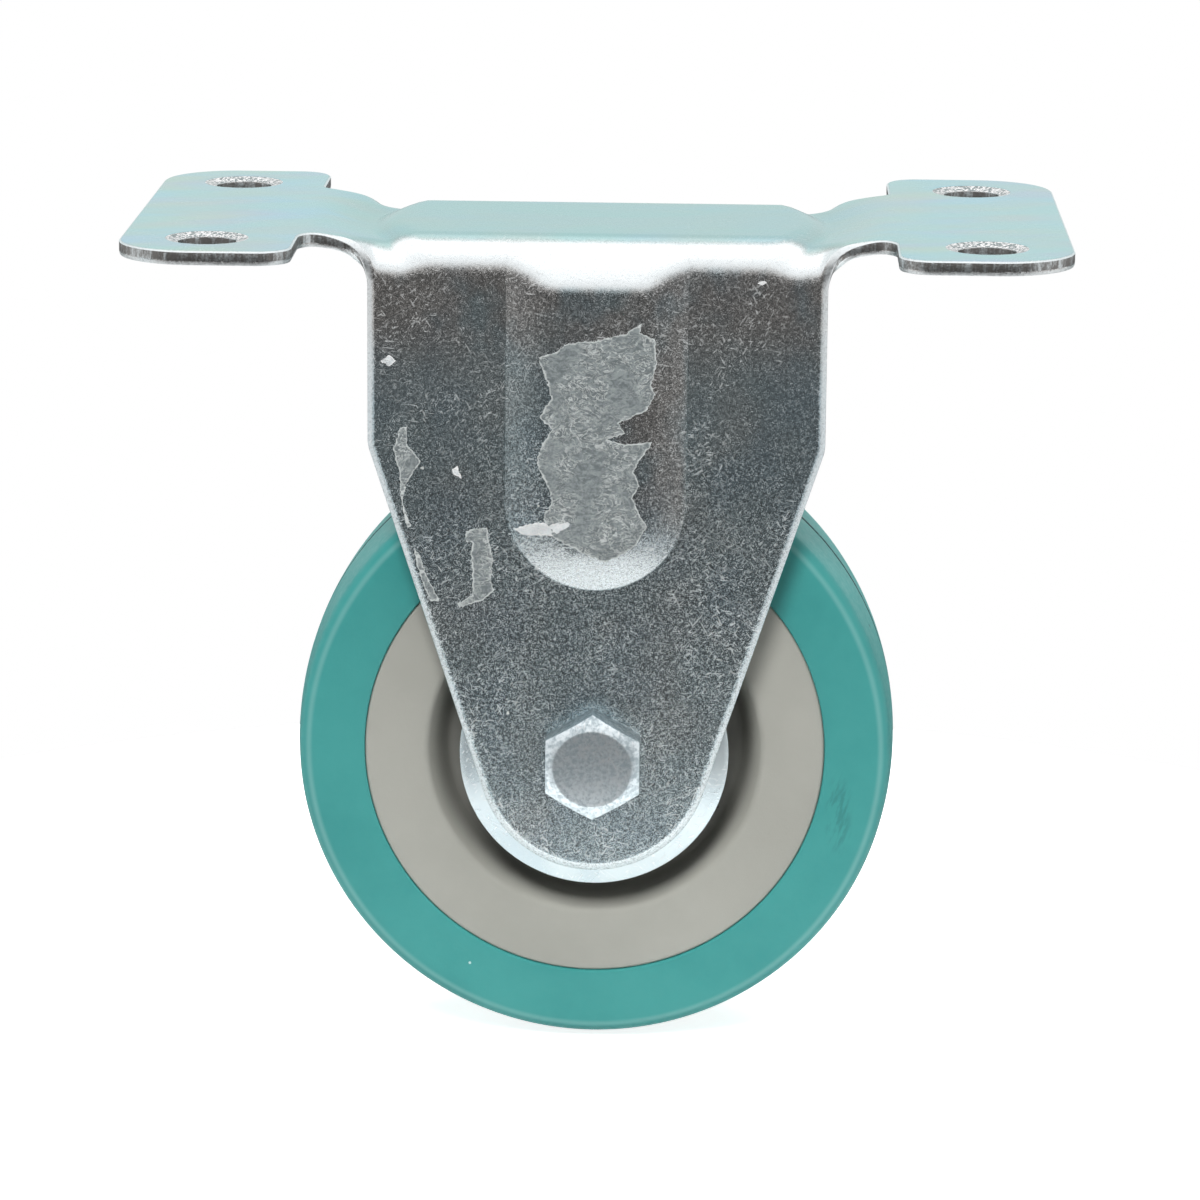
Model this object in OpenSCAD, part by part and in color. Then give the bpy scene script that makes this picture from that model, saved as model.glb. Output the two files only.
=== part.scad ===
// Fixed castor: a pressed fork with its mounting plate, and a ball-bearing wheel on a bolt.
// The origin is the middle of the plate's top face. X is the rolling direction, Y the axle.

/* [Plate] */
// Length of each wing of the plate, along the rolling direction
wing_l = 18.15; // [16:0.05:24]
// Depth of the mounting plate, along the axle
plate_w = 56.6; // [52:0.1:70]
// Thickness of the pressed sheet
sheet_t = 1.5; // [1.2:0.1:1.8]
// Distance from a screw hole to the end of the plate
hole_end = 8.95; // [7:0.05:10]
// Distance from a screw hole to the front or back of the plate
hole_side = 8.8; // [7:0.1:10]
// Diameter of a screw hole
hole_d = 6; // [4.5:0.1:6.5]
// Diameter of the countersink at the top face
countersink_d = 8.6; // [7:0.1:10]
// Depth of the countersink
countersink_h = 0.4; // [0.3:0.1:1]
// Radius of the plate's outer corners
plate_corner_r = 8; // [3:0.5:8]
// Radius of the wing corners beside the notches
wing_corner_r = 3.5; // [2:0.5:5]
// Width of each notch between leg and wing
notch_w = 6.95; // [6.5:0.05:9]
// Radius at the inner end of a notch
notch_r = 2.5; // [1.5:0.1:3]
// How far the neck reaches past the outside of the legs
neck_flare = 0.8; // [0.5:0.1:2]

/* [Crown] */
// How far the crown lies below the plate's top face
crown_drop = 0.45; // [0.2:0.05:0.8]
// How far the valleys beside the crown lie below the plate's top face
valley_drop = 1.45; // [1:0.05:1.8]
// Length of the slope from a valley up to the plate
ramp_l = 6; // [5:0.5:7]
// Distance from the side of a leg in to the crown's flat top
crown_inset = 4.55; // [3.5:0.05:8]
// Distance from the side of a leg in to a valley
valley_inset = 1.55; // [0.5:0.05:2.5]
// Outer radius of the fold between crown and leg
fold_r = 4; // [3:0.1:5]
// Radius of the shoulder between neck and leg
shoulder_r = 4.2; // [3.5:0.05:4.5]

/* [Legs] */
// Distance from the plate's top face down to the axle
axle_drop = 56.5; // [55.5:0.1:60]
// Clearance between the tyre and each leg
leg_clearance = 2.5; // [2.3:0.1:4]
// Width of a leg above its taper
leg_w = 48.1; // [46:0.1:50]
// Height above the axle at which a leg starts to narrow
taper_h = 33.8; // [28:0.1:38]
// Radius of a leg's lower end
leg_end_r = 12.3; // [10:0.1:14]
// Height of the pressed rib above the leg's face
rib_h = 1.5; // [1:0.1:1.8]
// Width of the rib at its foot
rib_w = 19.3; // [16:0.1:22]
// Width of the rib's flat
rib_flat_w = 10.4; // [6:0.1:12]
// Height above the axle of the centre of the rib's round end
rib_centre_h = 28.15; // [27:0.05:32]
// Height above the axle of the rib's upper end
rib_top_h = 52.8; // [48:0.1:53]
// Length of the slope at the rib's upper end
rib_end_slope = 1.9; // [1.5:0.1:4]

/* [Axle] */
// Diameter of the axle bolt
bolt_d = 5.9; // [5.5:0.1:6]
// Diameter of the bolt's hole in a leg
bolt_hole_d = 6.4; // [6.2:0.1:6.6]
// Length of thread that stands out past the nut
bolt_tail = 2.8; // [1:0.1:8]
// Width of the bolt head and of the nut across their flats
hex_af = 10; // [9.6:0.1:11]
// Height of the bolt head
head_h = 4; // [3.5:0.1:5]
// Height of the locking nut's hexagon
nut_hex_h = 4.8; // [4:0.1:5]
// Height of the locking nut with its collar
nut_h = 6.2; // [5.8:0.1:7]
// Height of the nylon ring in the collar
insert_h = 1.6; // [1.2:0.1:1.8]
// Outer diameter of the nylon ring
insert_d = 7.8; // [7.4:0.1:8]
// Outer diameter of the nut's collar
nut_collar_d = 9.2; // [8.8:0.1:9.5]
// Bore of the axle sleeve
sleeve_bore = 6.1; // [6.05:0.05:6.6]
// Diameter of a dust cap
cap_d = 28.8; // [27:0.1:30]
// Diameter of a dust cap's flat
cap_flat_d = 23.2; // [20:0.1:25]
// Thickness of a dust cap's sheet
cap_t = 0.8; // [0.6:0.1:1]
// Depth of a dust cap's dished rim
cap_depth = 1.65; // [1.2:0.05:2]
// Outer diameter of the spacers
spacer_d = 11; // [10.4:0.1:11.6]

/* [Wheel] */
// Diameter of the wheel over its tyre
wheel_d = 64.5; // [60:0.5:65]
// Width of the tyre
tyre_w = 21; // [20:0.1:25]
// Radial thickness of the tyre
tyre_t = 7.6; // [6:0.1:9]
// Radius of the tyre's shoulders
shoulder_tyre_r = 1.6; // [1:0.1:2.5]
// Radius of the tread's crown across the wheel
tread_r = 90; // [60:5:160]
// How far the hub's face lies inside the tyre's
hub_inset = 0.25; // [0:0.05:1]
// Diameter of the recess at the hub's face
mouth_d = 35; // [34:0.1:38]
// Diameter of the recess at its floor
floor_d = 31.6; // [30.4:0.1:33]
// Radius of the lip round the recess
lip_r = 0.8; // [0.4:0.1:1.2]
// Thickness of the web at the recess floor
web_t = 13; // [10:0.5:14]
// Diameter of the boss that holds the bearings
boss_d = 26; // [25:0.1:27]
// How far the boss stands past a bearing
boss_lip = 0.4; // [0.2:0.1:0.8]
// Height of the ridge that keys the tyre to the hub
key_h = 2.5; // [1.5:0.1:4]
// Width of the ridge
key_w = 8; // [6:0.5:12]

/* [Bearings] */
// Outer diameter of a bearing
bearing_d = 22; // [21.8:0.1:22.4]
// Bore of a bearing, which is the sleeve's outside
bearing_bore = 8; // [7.8:0.1:8.2]
// Width of a bearing
bearing_w = 7; // [6.8:0.1:7.4]
// Gap between the two bearings
bearing_gap = 3; // [2.6:0.1:4]
// Diameter of a ball
ball_d = 3.97; // [3.8:0.01:4.1]
// Number of balls in a bearing
ball_n = 7; // [6:1:7]
// Radial thickness of a race at its edge
race_t = 2.05; // [1.95:0.05:2.1]
// Thickness of a bearing shield
shield_t = 0.3; // [0.2:0.05:0.35]
// Radial width of the ball cage
cage_t = 2; // [1.8:0.1:2.1]
// Thickness of the cage's ring beside the balls
cage_ring_t = 0.5; // [0.4:0.05:0.55]

/* [Clearances] */
// Radial gap of each push fit on the axle and in the hub
fit_gap = 0.02; // [0.01:0.01:0.04]
// Gap between a ball and its races
race_gap = 0.06; // [0.04:0.01:0.08]
// Gap between a ball and its cage
pocket_gap = 0.1; // [0.06:0.01:0.15]
// Gap between a shield and the turning inner race
shield_gap = 0.3; // [0.2:0.05:0.4]
// Gap between the bolt and a dust cap
cap_gap = 0.15; // [0.1:0.05:0.2]
// Gap between the tyre and the hub it is moulded on
bond_gap = 0.02; // [0.01:0.01:0.04]

/* [Hidden] */
$fn = 96;
cut = 0.01;
front = -1;
rear = 1;
fork_gap = tyre_w + 2 * leg_clearance;
leg_in = fork_gap / 2;
leg_out = leg_in + sheet_t;
fold_start = leg_out - fold_r;
fold_z = -crown_drop - fold_r;
wheel_r = wheel_d / 2;
hub_d = wheel_d - 2 * tyre_t;
hub_w = tyre_w - 2 * hub_inset;
fork_depth = axle_drop + leg_end_r;
wing_start = leg_w / 2 + notch_w;
plate_l = 2 * (wing_start + wing_l);
hole_pitch_x = plate_l - 2 * hole_end;
hole_pitch_y = plate_w - 2 * hole_side;
neck_w = 2 * (leg_out + neck_flare);
crown_l = leg_w - 2 * crown_inset;
valley_pitch = leg_w - 2 * valley_inset;
ramp_end = valley_pitch / 2 + ramp_l;
bolt_l = 2 * leg_out + nut_h + bolt_tail;
stack_w = fork_gap - 2 * cap_t;
bearing_mid = (bearing_gap + bearing_w) / 2;
bearing_out = bearing_gap / 2 + bearing_w;
ball_pitch_r = (bearing_bore + bearing_d) / 4;
groove_r = ball_d / 2 + race_gap;
shield_seat = race_t / 3;
shield_z = ball_d / 2 + pocket_gap + cage_ring_t + 0.25;

// Height of the sheet's top face along the plate, through a valley at each end of the crown
top_line = [
    [-plate_l / 2, 0],
    [-ramp_end, 0],
    [-valley_pitch / 2, -valley_drop],
    [-crown_l / 2, -crown_drop],
    [crown_l / 2, -crown_drop],
    [valley_pitch / 2, -valley_drop],
    [ramp_end, 0],
    [plate_l / 2, 0]
];

// The tangent from a leg's corner to its round lower end touches it at this angle
corner_reach = norm([leg_w / 2, taper_h]);
tangent_a = atan2(taper_h, leg_w / 2) - acos(leg_end_r / corner_reach);

// Helpers for placing pieces

// Puts a piece that was drawn round Z on the axle, seen from the middle of the wheel
module on_axle(side = rear) {
    translate([0, 0, -axle_drop])
        rotate([-90, 0, 0])
            mirror([0, 0, side == front ? 1 : 0])
                children();
}

module both_ends() {
    children();
    mirror([1, 0, 0]) children();
}

module both_sides() {
    children();
    mirror([0, 1, 0]) children();
}

// Extrudes a side view, drawn as X and Z, across the plate
module across(width) {
    rotate([90, 0, 0])
        linear_extrude(height = width, center = true)
            children();
}

// Extrudes an end view, drawn as Y and Z, along the plate
module along(length) {
    rotate([90, 0, 90])
        linear_extrude(height = length, center = true)
            children();
}

module ring(inner_d, outer_d, height) {
    difference() {
        cylinder(d = outer_d, h = height);
        translate([0, 0, -cut]) cylinder(d = inner_d, h = height + 2 * cut);
    }
}

// The bracket, folded from one sheet

module corner_cut(r) {
    difference() {
        square(r + cut);
        circle(r);
    }
}

module wing_plan() {
    difference() {
        translate([wing_start, -plate_w / 2]) square([plate_l / 2 - wing_start, plate_w]);
        for (side = [0, 1]) {
            mirror([0, side]) {
                translate([plate_l / 2 - plate_corner_r, plate_w / 2 - plate_corner_r])
                    corner_cut(plate_corner_r);
                translate([wing_start + wing_corner_r, plate_w / 2 - wing_corner_r])
                    mirror([1, 0]) corner_cut(wing_corner_r);
            }
        }
    }
}

module neck_plan() {
    notch_x = wing_start - notch_r;
    shoulder_x = leg_w / 2 + shoulder_r / 3;
    for (side = [0, 1]) {
        mirror([0, side]) {
            polygon([
                [0, 0],
                [wing_start + cut, 0],
                [wing_start + cut, neck_w / 2],
                [notch_x, neck_w / 2],
                [shoulder_x, leg_out],
                [leg_w / 2 - 1, fold_start],
                [0, fold_start]
            ]);
            translate([notch_x, neck_w / 2]) {
                difference() {
                    translate([0, -cut]) square([notch_r + cut, notch_r + cut]);
                    translate([0, notch_r]) circle(notch_r);
                }
            }
        }
    }
}

module sheet_under(drop) {
    polygon(concat(
        [for (p = top_line) [p[0], p[1] - drop]],
        [[plate_l / 2, -fork_depth - 1], [-plate_l / 2, -fork_depth - 1]]
    ));
}

module plate() {
    intersection() {
        translate([0, 0, -valley_drop - 2 * sheet_t])
            linear_extrude(height = valley_drop + 2 * sheet_t + 1)
                both_ends() { wing_plan(); neck_plan(); }
        across(plate_w + 2) {
            difference() {
                sheet_under(0);
                sheet_under(sheet_t);
            }
        }
    }
}

module fold_section(half_w, r, top) {
    translate([-half_w, -fork_depth - 1]) square([2 * half_w, fork_depth + 1 + top - r]);
    translate([-half_w + r, top - 2 * r]) square([2 * (half_w - r), 2 * r]);
    for (side = [-1, 1]) {
        translate([side * (half_w - r), top - r]) circle(r);
    }
}

module leg_outline() {
    tangent = leg_end_r * [cos(tangent_a), sin(tangent_a)];
    translate([0, -axle_drop]) {
        circle(leg_end_r);
        polygon([
            [-leg_w / 2, axle_drop],
            [leg_w / 2, axle_drop],
            [leg_w / 2, taper_h],
            tangent,
            [-tangent[0], tangent[1]],
            [-leg_w / 2, taper_h]
        ]);
    }
    both_ends() {
        difference() {
            translate([leg_w / 2 - cut, -shoulder_r]) square(shoulder_r);
            translate([leg_w / 2 + shoulder_r, -shoulder_r]) circle(shoulder_r);
        }
    }
}

module legs() {
    intersection() {
        along(2 * wing_start) fold_section(leg_out, fold_r, -crown_drop);
        across(plate_w) {
            intersection() {
                sheet_under(0);
                leg_outline();
            }
        }
    }
}

module between_legs() {
    intersection() {
        along(2 * wing_start) fold_section(leg_in, fold_r - sheet_t, -crown_drop - sheet_t);
        across(plate_w) sheet_under(sheet_t);
    }
}

// The pressed rib grows along Y from a foot at y = 0
module rib_form() {
    rib_l = rib_top_h - rib_centre_h;
    translate([0, 0, rib_centre_h - axle_drop]) {
        rotate([-90, 0, 0]) cylinder(d1 = rib_w, d2 = rib_flat_w, h = rib_h);
        intersection() {
            linear_extrude(height = rib_l) {
                polygon([
                    [-rib_w / 2, 0],
                    [rib_w / 2, 0],
                    [rib_flat_w / 2, rib_h],
                    [-rib_flat_w / 2, rib_h]
                ]);
            }
            along(rib_w + 2) {
                polygon([[0, 0], [rib_h, 0], [rib_h, rib_l - rib_end_slope], [0, rib_l]]);
            }
        }
    }
}

module screw_hole() {
    translate([0, 0, -sheet_t - 1]) cylinder(d = hole_d, h = sheet_t + 2);
    translate([0, 0, -countersink_h]) {
        cylinder(d1 = hole_d, d2 = countersink_d, h = countersink_h);
    }
    cylinder(d = countersink_d, h = 1);
}

module bracket() {
    color([0.72, 0.75, 0.76]) {
        difference() {
            union() {
                plate();
                legs();
                both_sides() translate([0, leg_out - cut, 0]) rib_form();
            }
            between_legs();
            both_sides() translate([0, leg_in - cut, 0]) rib_form();
            for (x = [-1, 1], y = [-1, 1]) {
                translate([x * hole_pitch_x / 2, y * hole_pitch_y / 2, 0]) screw_hole();
            }
            on_axle() cylinder(d = bolt_hole_d, h = fork_gap * 2, center = true);
        }
    }
}

// The axle bolt, its nut and what they clamp

module hex_bar(height) {
    cylinder(d = hex_af / cos(30), h = height, $fn = 6);
}

// Trims the corners of a hexagon's outer face to a cone, 30 degrees off the face
module corner_trim(height) {
    face_r = 0.475 * hex_af;
    rotate_extrude() {
        polygon([
            [0, 0],
            [hex_af, 0],
            [hex_af, height - (hex_af - face_r) * tan(30)],
            [face_r, height],
            [0, height]
        ]);
    }
}

module axle_bolt() {
    tip = 0.7;
    color([0.62, 0.66, 0.68]) {
        on_axle(front) {
            translate([0, 0, leg_out]) {
                intersection() {
                    rotate([0, 0, 30]) hex_bar(head_h);
                    corner_trim(head_h);
                }
            }
            translate([0, 0, leg_out - bolt_l + tip]) {
                cylinder(d = bolt_d, h = bolt_l - tip + cut);
            }
            translate([0, 0, leg_out - bolt_l]) {
                cylinder(d1 = bolt_d - 2 * tip, d2 = bolt_d, h = tip);
            }
        }
    }
}

module axle_nut() {
    color([0.62, 0.66, 0.68]) {
        on_axle(rear) {
            translate([0, 0, leg_out]) {
                difference() {
                    union() {
                        intersection() {
                            rotate([0, 0, 30]) hex_bar(nut_hex_h);
                            corner_trim(nut_hex_h);
                        }
                        cylinder(d = nut_collar_d, h = nut_h);
                    }
                    translate([0, 0, -1]) cylinder(d = bolt_d + 2 * fit_gap, h = nut_h + 2);
                    translate([0, 0, nut_h - insert_h]) cylinder(d = insert_d + 2 * fit_gap, h = nut_h);
                }
            }
        }
    }
}

module nut_insert() {
    color([0.2, 0.35, 0.6]) {
        on_axle(rear) {
            translate([0, 0, leg_out + nut_h - insert_h]) {
                ring(bolt_d + 2 * fit_gap, insert_d, insert_h);
            }
        }
    }
}

module axle_sleeve() {
    color([0.6, 0.6, 0.62]) {
        on_axle() {
            translate([0, 0, -stack_w / 2]) {
                ring(sleeve_bore, bearing_bore - 2 * fit_gap, stack_w);
            }
        }
    }
}

module spacer(length) {
    color([0.6, 0.6, 0.62]) ring(bearing_bore, spacer_d, length);
}

module centre_spacer() {
    on_axle() translate([0, 0, -bearing_gap / 2]) spacer(bearing_gap);
}

module side_spacer(side) {
    on_axle(side) translate([0, 0, bearing_out]) spacer(stack_w / 2 - bearing_out);
}

module front_spacer() {
    side_spacer(front);
}

module rear_spacer() {
    side_spacer(rear);
}

// A dished disc, flat against the leg and drawn back towards the hub at its rim
module dust_cap(side) {
    flat_r = cap_flat_d / 2;
    rim_r = cap_d / 2;
    edge_w = cap_depth / 4;
    color([0.78, 0.8, 0.81]) {
        on_axle(side) {
            rotate_extrude() {
                polygon([
                    [bolt_d / 2 + cap_gap, leg_in],
                    [flat_r, leg_in],
                    [rim_r, leg_in - cap_depth + edge_w],
                    [rim_r, leg_in - cap_depth],
                    [rim_r - cap_t, leg_in - cap_depth],
                    [flat_r - cap_t / 2, leg_in - cap_t],
                    [bolt_d / 2 + cap_gap, leg_in - cap_t]
                ]);
            }
        }
    }
}

module front_dust_cap() {
    dust_cap(front);
}

module rear_dust_cap() {
    dust_cap(rear);
}

// The wheel

// Everything that is hollow on one face: over the boss, round it, and up the recess wall
module recess_section() {
    boss_top = bearing_out + boss_lip;
    difference() {
        polygon([
            [0, boss_top],
            [boss_d / 2, boss_top],
            [boss_d / 2, web_t / 2],
            [floor_d / 2, web_t / 2],
            [mouth_d / 2, hub_w / 2 - lip_r],
            [mouth_d / 2 + lip_r, hub_w / 2],
            [mouth_d / 2 + lip_r, hub_w],
            [0, hub_w]
        ]);
        translate([mouth_d / 2 + lip_r, hub_w / 2 - lip_r]) circle(lip_r);
    }
}

module core_section() {
    stop_r = bearing_d / 2 - 0.6 * race_t;
    pocket_r = bearing_d / 2 + fit_gap;
    difference() {
        union() {
            translate([stop_r, -hub_w / 2]) square([hub_d / 2 - stop_r, hub_w]);
            translate([stop_r, -key_w / 2]) square([hub_d / 2 + key_h - stop_r, key_w]);
        }
        for (end = [0, 1]) {
            mirror([0, end]) {
                recess_section();
                translate([0, bearing_gap / 2]) square([pocket_r, hub_w]);
            }
        }
    }
}

module wheel_core() {
    color([0.66, 0.66, 0.62]) on_axle() rotate_extrude() core_section();
}

// The shoulders touch the tread's crown where the two arcs share a tangent
module tyre_section() {
    shoulder_y = tyre_w / 2 - shoulder_tyre_r;
    crown_x = wheel_r - tread_r;
    shoulder_x = crown_x + sqrt(pow(tread_r - shoulder_tyre_r, 2) - pow(shoulder_y, 2));
    difference() {
        union() {
            translate([hub_d / 4, -tyre_w / 2]) square([shoulder_x - hub_d / 4, tyre_w]);
            for (side = [-1, 1]) {
                translate([shoulder_x, side * shoulder_y]) circle(shoulder_tyre_r);
            }
            intersection() {
                translate([hub_d / 4, -shoulder_y]) square([wheel_r, 2 * shoulder_y]);
                translate([crown_x, 0]) circle(tread_r);
            }
        }
        translate([0, -tyre_w]) square([hub_d / 2 + bond_gap, 2 * tyre_w]);
        translate([0, -key_w / 2 - bond_gap]) {
            square([hub_d / 2 + key_h + bond_gap, key_w + 2 * bond_gap]);
        }
    }
}

module tyre() {
    color([0.22, 0.6, 0.58]) on_axle() rotate_extrude() tyre_section();
}

// The bearings, each drawn round its own middle

module bearing_place(side) {
    on_axle(side) translate([0, 0, bearing_mid]) children();
}

module race_groove() {
    translate([ball_pitch_r, 0]) circle(groove_r);
}

module inner_race(side) {
    color([0.7, 0.7, 0.72]) {
        bearing_place(side) {
            rotate_extrude() {
                difference() {
                    translate([bearing_bore / 2, -bearing_w / 2]) square([race_t, bearing_w]);
                    race_groove();
                }
            }
        }
    }
}

module outer_race(side) {
    land_r = bearing_d / 2 - race_t;
    color([0.7, 0.7, 0.72]) {
        bearing_place(side) {
            rotate_extrude() {
                difference() {
                    translate([land_r, -bearing_w / 2]) square([race_t, bearing_w]);
                    race_groove();
                    for (end = [0, 1]) {
                        mirror([0, end]) {
                            translate([land_r - 1, shield_z]) square([shield_seat + 1, bearing_w]);
                        }
                    }
                }
            }
        }
    }
}

module balls(side) {
    color([0.8, 0.8, 0.82]) {
        bearing_place(side) {
            for (i = [0 : ball_n - 1]) {
                rotate([0, 0, i * 360 / ball_n]) translate([ball_pitch_r, 0, 0]) sphere(d = ball_d);
            }
        }
    }
}

// A snap cage: a ring beside the balls, with a pocket round each
module cage(side) {
    pocket_r = ball_d / 2 + pocket_gap;
    pitch_d = 2 * ball_pitch_r;
    finger_l = ball_d / 5;
    cage_l = finger_l + pocket_r + cage_ring_t;
    color([0.85, 0.83, 0.75]) {
        bearing_place(side) {
            difference() {
                translate([0, 0, -finger_l]) ring(pitch_d - cage_t, pitch_d + cage_t, cage_l);
                for (i = [0 : ball_n - 1]) {
                    rotate([0, 0, i * 360 / ball_n]) translate([ball_pitch_r, 0, 0]) sphere(r = pocket_r);
                }
            }
        }
    }
}

module shield(side, face) {
    inner_d = bearing_bore + 2 * (race_t + shield_gap);
    outer_d = bearing_d - 2 * (race_t - shield_seat) - 2 * fit_gap;
    color([0.75, 0.76, 0.78]) {
        bearing_place(side) {
            translate([0, 0, face > 0 ? shield_z : -shield_z - shield_t]) ring(inner_d, outer_d, shield_t);
        }
    }
}

module front_inner_race() { inner_race(front); }
module front_outer_race() { outer_race(front); }
module front_cage() { cage(front); }
module front_balls() { balls(front); }
module front_outer_shield() { shield(front, 1); }
module front_inner_shield() { shield(front, -1); }
module rear_inner_race() { inner_race(rear); }
module rear_outer_race() { outer_race(rear); }
module rear_cage() { cage(rear); }
module rear_balls() { balls(rear); }
module rear_outer_shield() { shield(rear, 1); }
module rear_inner_shield() { shield(rear, -1); }

bracket();
axle_bolt();
axle_nut();
nut_insert();
axle_sleeve();
centre_spacer();
front_spacer();
rear_spacer();
front_dust_cap();
rear_dust_cap();
wheel_core();
tyre();
front_inner_race();
front_outer_race();
front_cage();
front_balls();
front_outer_shield();
front_inner_shield();
rear_inner_race();
rear_outer_race();
rear_cage();
rear_balls();
rear_outer_shield();
rear_inner_shield();
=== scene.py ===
"""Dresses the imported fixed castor: a pressed zinc fork, its axle and a green-tyred wheel."""
import math
import random

import bpy
import numpy as np
from mathutils import Matrix, Vector, noise
from mathutils.geometry import delaunay_2d_cdt


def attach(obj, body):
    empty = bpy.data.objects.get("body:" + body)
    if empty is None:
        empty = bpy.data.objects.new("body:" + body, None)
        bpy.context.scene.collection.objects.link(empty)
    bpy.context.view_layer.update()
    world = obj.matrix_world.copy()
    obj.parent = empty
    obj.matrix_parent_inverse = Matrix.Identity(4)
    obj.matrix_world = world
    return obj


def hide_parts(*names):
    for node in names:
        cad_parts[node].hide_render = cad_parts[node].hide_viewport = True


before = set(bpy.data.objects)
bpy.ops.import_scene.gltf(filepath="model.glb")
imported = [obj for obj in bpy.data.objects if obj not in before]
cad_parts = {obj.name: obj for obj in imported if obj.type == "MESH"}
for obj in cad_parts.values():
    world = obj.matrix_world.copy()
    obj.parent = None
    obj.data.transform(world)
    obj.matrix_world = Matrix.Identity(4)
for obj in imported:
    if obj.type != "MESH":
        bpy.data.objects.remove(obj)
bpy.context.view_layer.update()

MM = 0.001
FRONT, REAR = -1, 1

# Sizes of the castor, in millimetres, as in the part's source
PLATE_L, PLATE_W = 98.3, 56.6
WING_START = 31.0
HOLE_X, HOLE_Y = 40.2, 19.5
HALF_SHEET = 0.75
CROWN_DROP = 0.45
VALLEY_DROP = 1.45
FOLD_START = 10.5
FOLD_MID_R = 3.25
FOLD_END = FOLD_START + FOLD_MID_R * math.pi / 2
FOLD_DEPTH = CROWN_DROP + HALF_SHEET + FOLD_MID_R
LEG_OUT = 14.5
LEG_IN = 13.0
LEG_HALF = 24.05
AXLE_DROP = 56.5
TAPER_H = 33.8
LEG_END_R = 12.3
LEG_ZERO = FOLD_END - FOLD_DEPTH
AXLE_S = LEG_ZERO + AXLE_DROP
TAPER_S = AXLE_S - TAPER_H
NECK_S = 15.1
RIB_HALF = 9.45
RIB_CENTRE_S = AXLE_S - 28.15
RIB_TOP_S = 13.6
RIB_H = 1.5
RIB_SLOPE = 4.45
RIB_FADE = 3.7
RIB_BEAD = 0.08
HEX_AF = 10.0
HEAD_H = 4.0
NUT_HEX_H = 4.8
NUT_H = 6.2
BOLT_R = 2.95
BOLT_TAIL = 2.8
TYRE_R = 32.25
TYRE_HALF = 10.5
HUB_R = 24.65


# Camera and light

def set_camera():
    """The photograph's view: a long lens in front of the castor and a little above it."""
    data = bpy.data.cameras.new("camera")
    data.lens = 150.72
    data.sensor_width = 36
    data.clip_start = 0.01
    camera = bpy.data.objects.new("camera", data)
    bpy.context.scene.collection.objects.link(camera)
    forward = Vector((-0.0267, 0.9733, -0.2281)).normalized()
    right = Vector((0.9995, 0.0296, 0.0089))
    right = (right - forward * right.dot(forward)).normalized()
    up = right.cross(forward)
    turn = Matrix((right, up, -forward)).transposed()
    camera.matrix_world = Matrix.Translation((0.01475, -0.5313, 0.08215)) @ turn.to_4x4()
    bpy.context.scene.camera = camera


# Nodes of the materials

def add(tree, kind, inputs=None, **settings):
    """Adds a node with its settings, and sets or links each named input."""
    made = tree.nodes.new(kind)
    for name, value in settings.items():
        setattr(made, name, value)
    for name, value in (inputs or {}).items():
        socket = made.inputs[name]
        if isinstance(value, bpy.types.NodeSocket):
            tree.links.new(value, socket)
        else:
            socket.default_value = value
    return made


def math_node(tree, operation, first, second=0.0, clamp=False):
    made = add(tree, "ShaderNodeMath", {0: first, 1: second}, operation=operation, use_clamp=clamp)
    return made.outputs[0]


def between(tree, value, low, high, to_low=0.0, to_high=1.0):
    """Fades a value smoothly from one level to another."""
    made = add(tree, "ShaderNodeMapRange", {
        "Value": value, "From Min": low, "From Max": high, "To Min": to_low, "To Max": to_high,
    }, interpolation_type="SMOOTHSTEP")
    return made.outputs[0]


def mix(tree, share, first, second, blend="MIX"):
    made = add(tree, "ShaderNodeMix", {0: share, 6: first, 7: second}, data_type="RGBA",
               blend_type=blend)
    return made.outputs[2]


def noise_at(tree, place, scale, detail=2.0, rough=0.5, distort=0.0):
    made = add(tree, "ShaderNodeTexNoise", {
        "Vector": place, "Scale": scale, "Detail": detail, "Roughness": rough, "Distortion": distort,
    })
    return made.outputs["Fac"]


def stretched(tree, place, sizes, turn=(0.0, 0.0, 0.0)):
    """Turns a place and measures it in marks of a given length, width and depth in millimetres."""
    made = add(tree, "ShaderNodeMapping", {
        "Vector": place, "Scale": [size * MM for size in sizes], "Rotation": turn,
    }, vector_type="TEXTURE")
    return made.outputs[0]


def display(red, green, blue):
    """A colour as it shows on a screen, 0 to 255, turned to the linear colour of a shader."""
    def linear(value):
        value /= 255
        return value / 12.92 if value <= 0.04045 else ((value + 0.055) / 1.055) ** 2.4
    return (linear(red), linear(green), linear(blue), 1.0)


def new_group(name, inputs, outputs):
    """A node group with named sockets: a socket's kind is Vector, Float or Color."""
    tree = bpy.data.node_groups.new(name, "ShaderNodeTree")
    for label, kind, value in inputs:
        socket = tree.interface.new_socket(name=label, in_out="INPUT", socket_type="NodeSocket" + kind)
        if value is not None:
            socket.default_value = value
    for label, kind in outputs:
        tree.interface.new_socket(name=label, in_out="OUTPUT", socket_type="NodeSocket" + kind)
    return tree, tree.nodes.new("NodeGroupInput").outputs, tree.nodes.new("NodeGroupOutput").inputs


def use_group(tree, group, **inputs):
    made = tree.nodes.new("ShaderNodeGroup")
    made.node_tree = group
    for name, value in inputs.items():
        socket = made.inputs[name.replace("_", " ")]
        if isinstance(value, bpy.types.NodeSocket):
            tree.links.new(value, socket)
        else:
            socket.default_value = value
    return made.outputs


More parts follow.
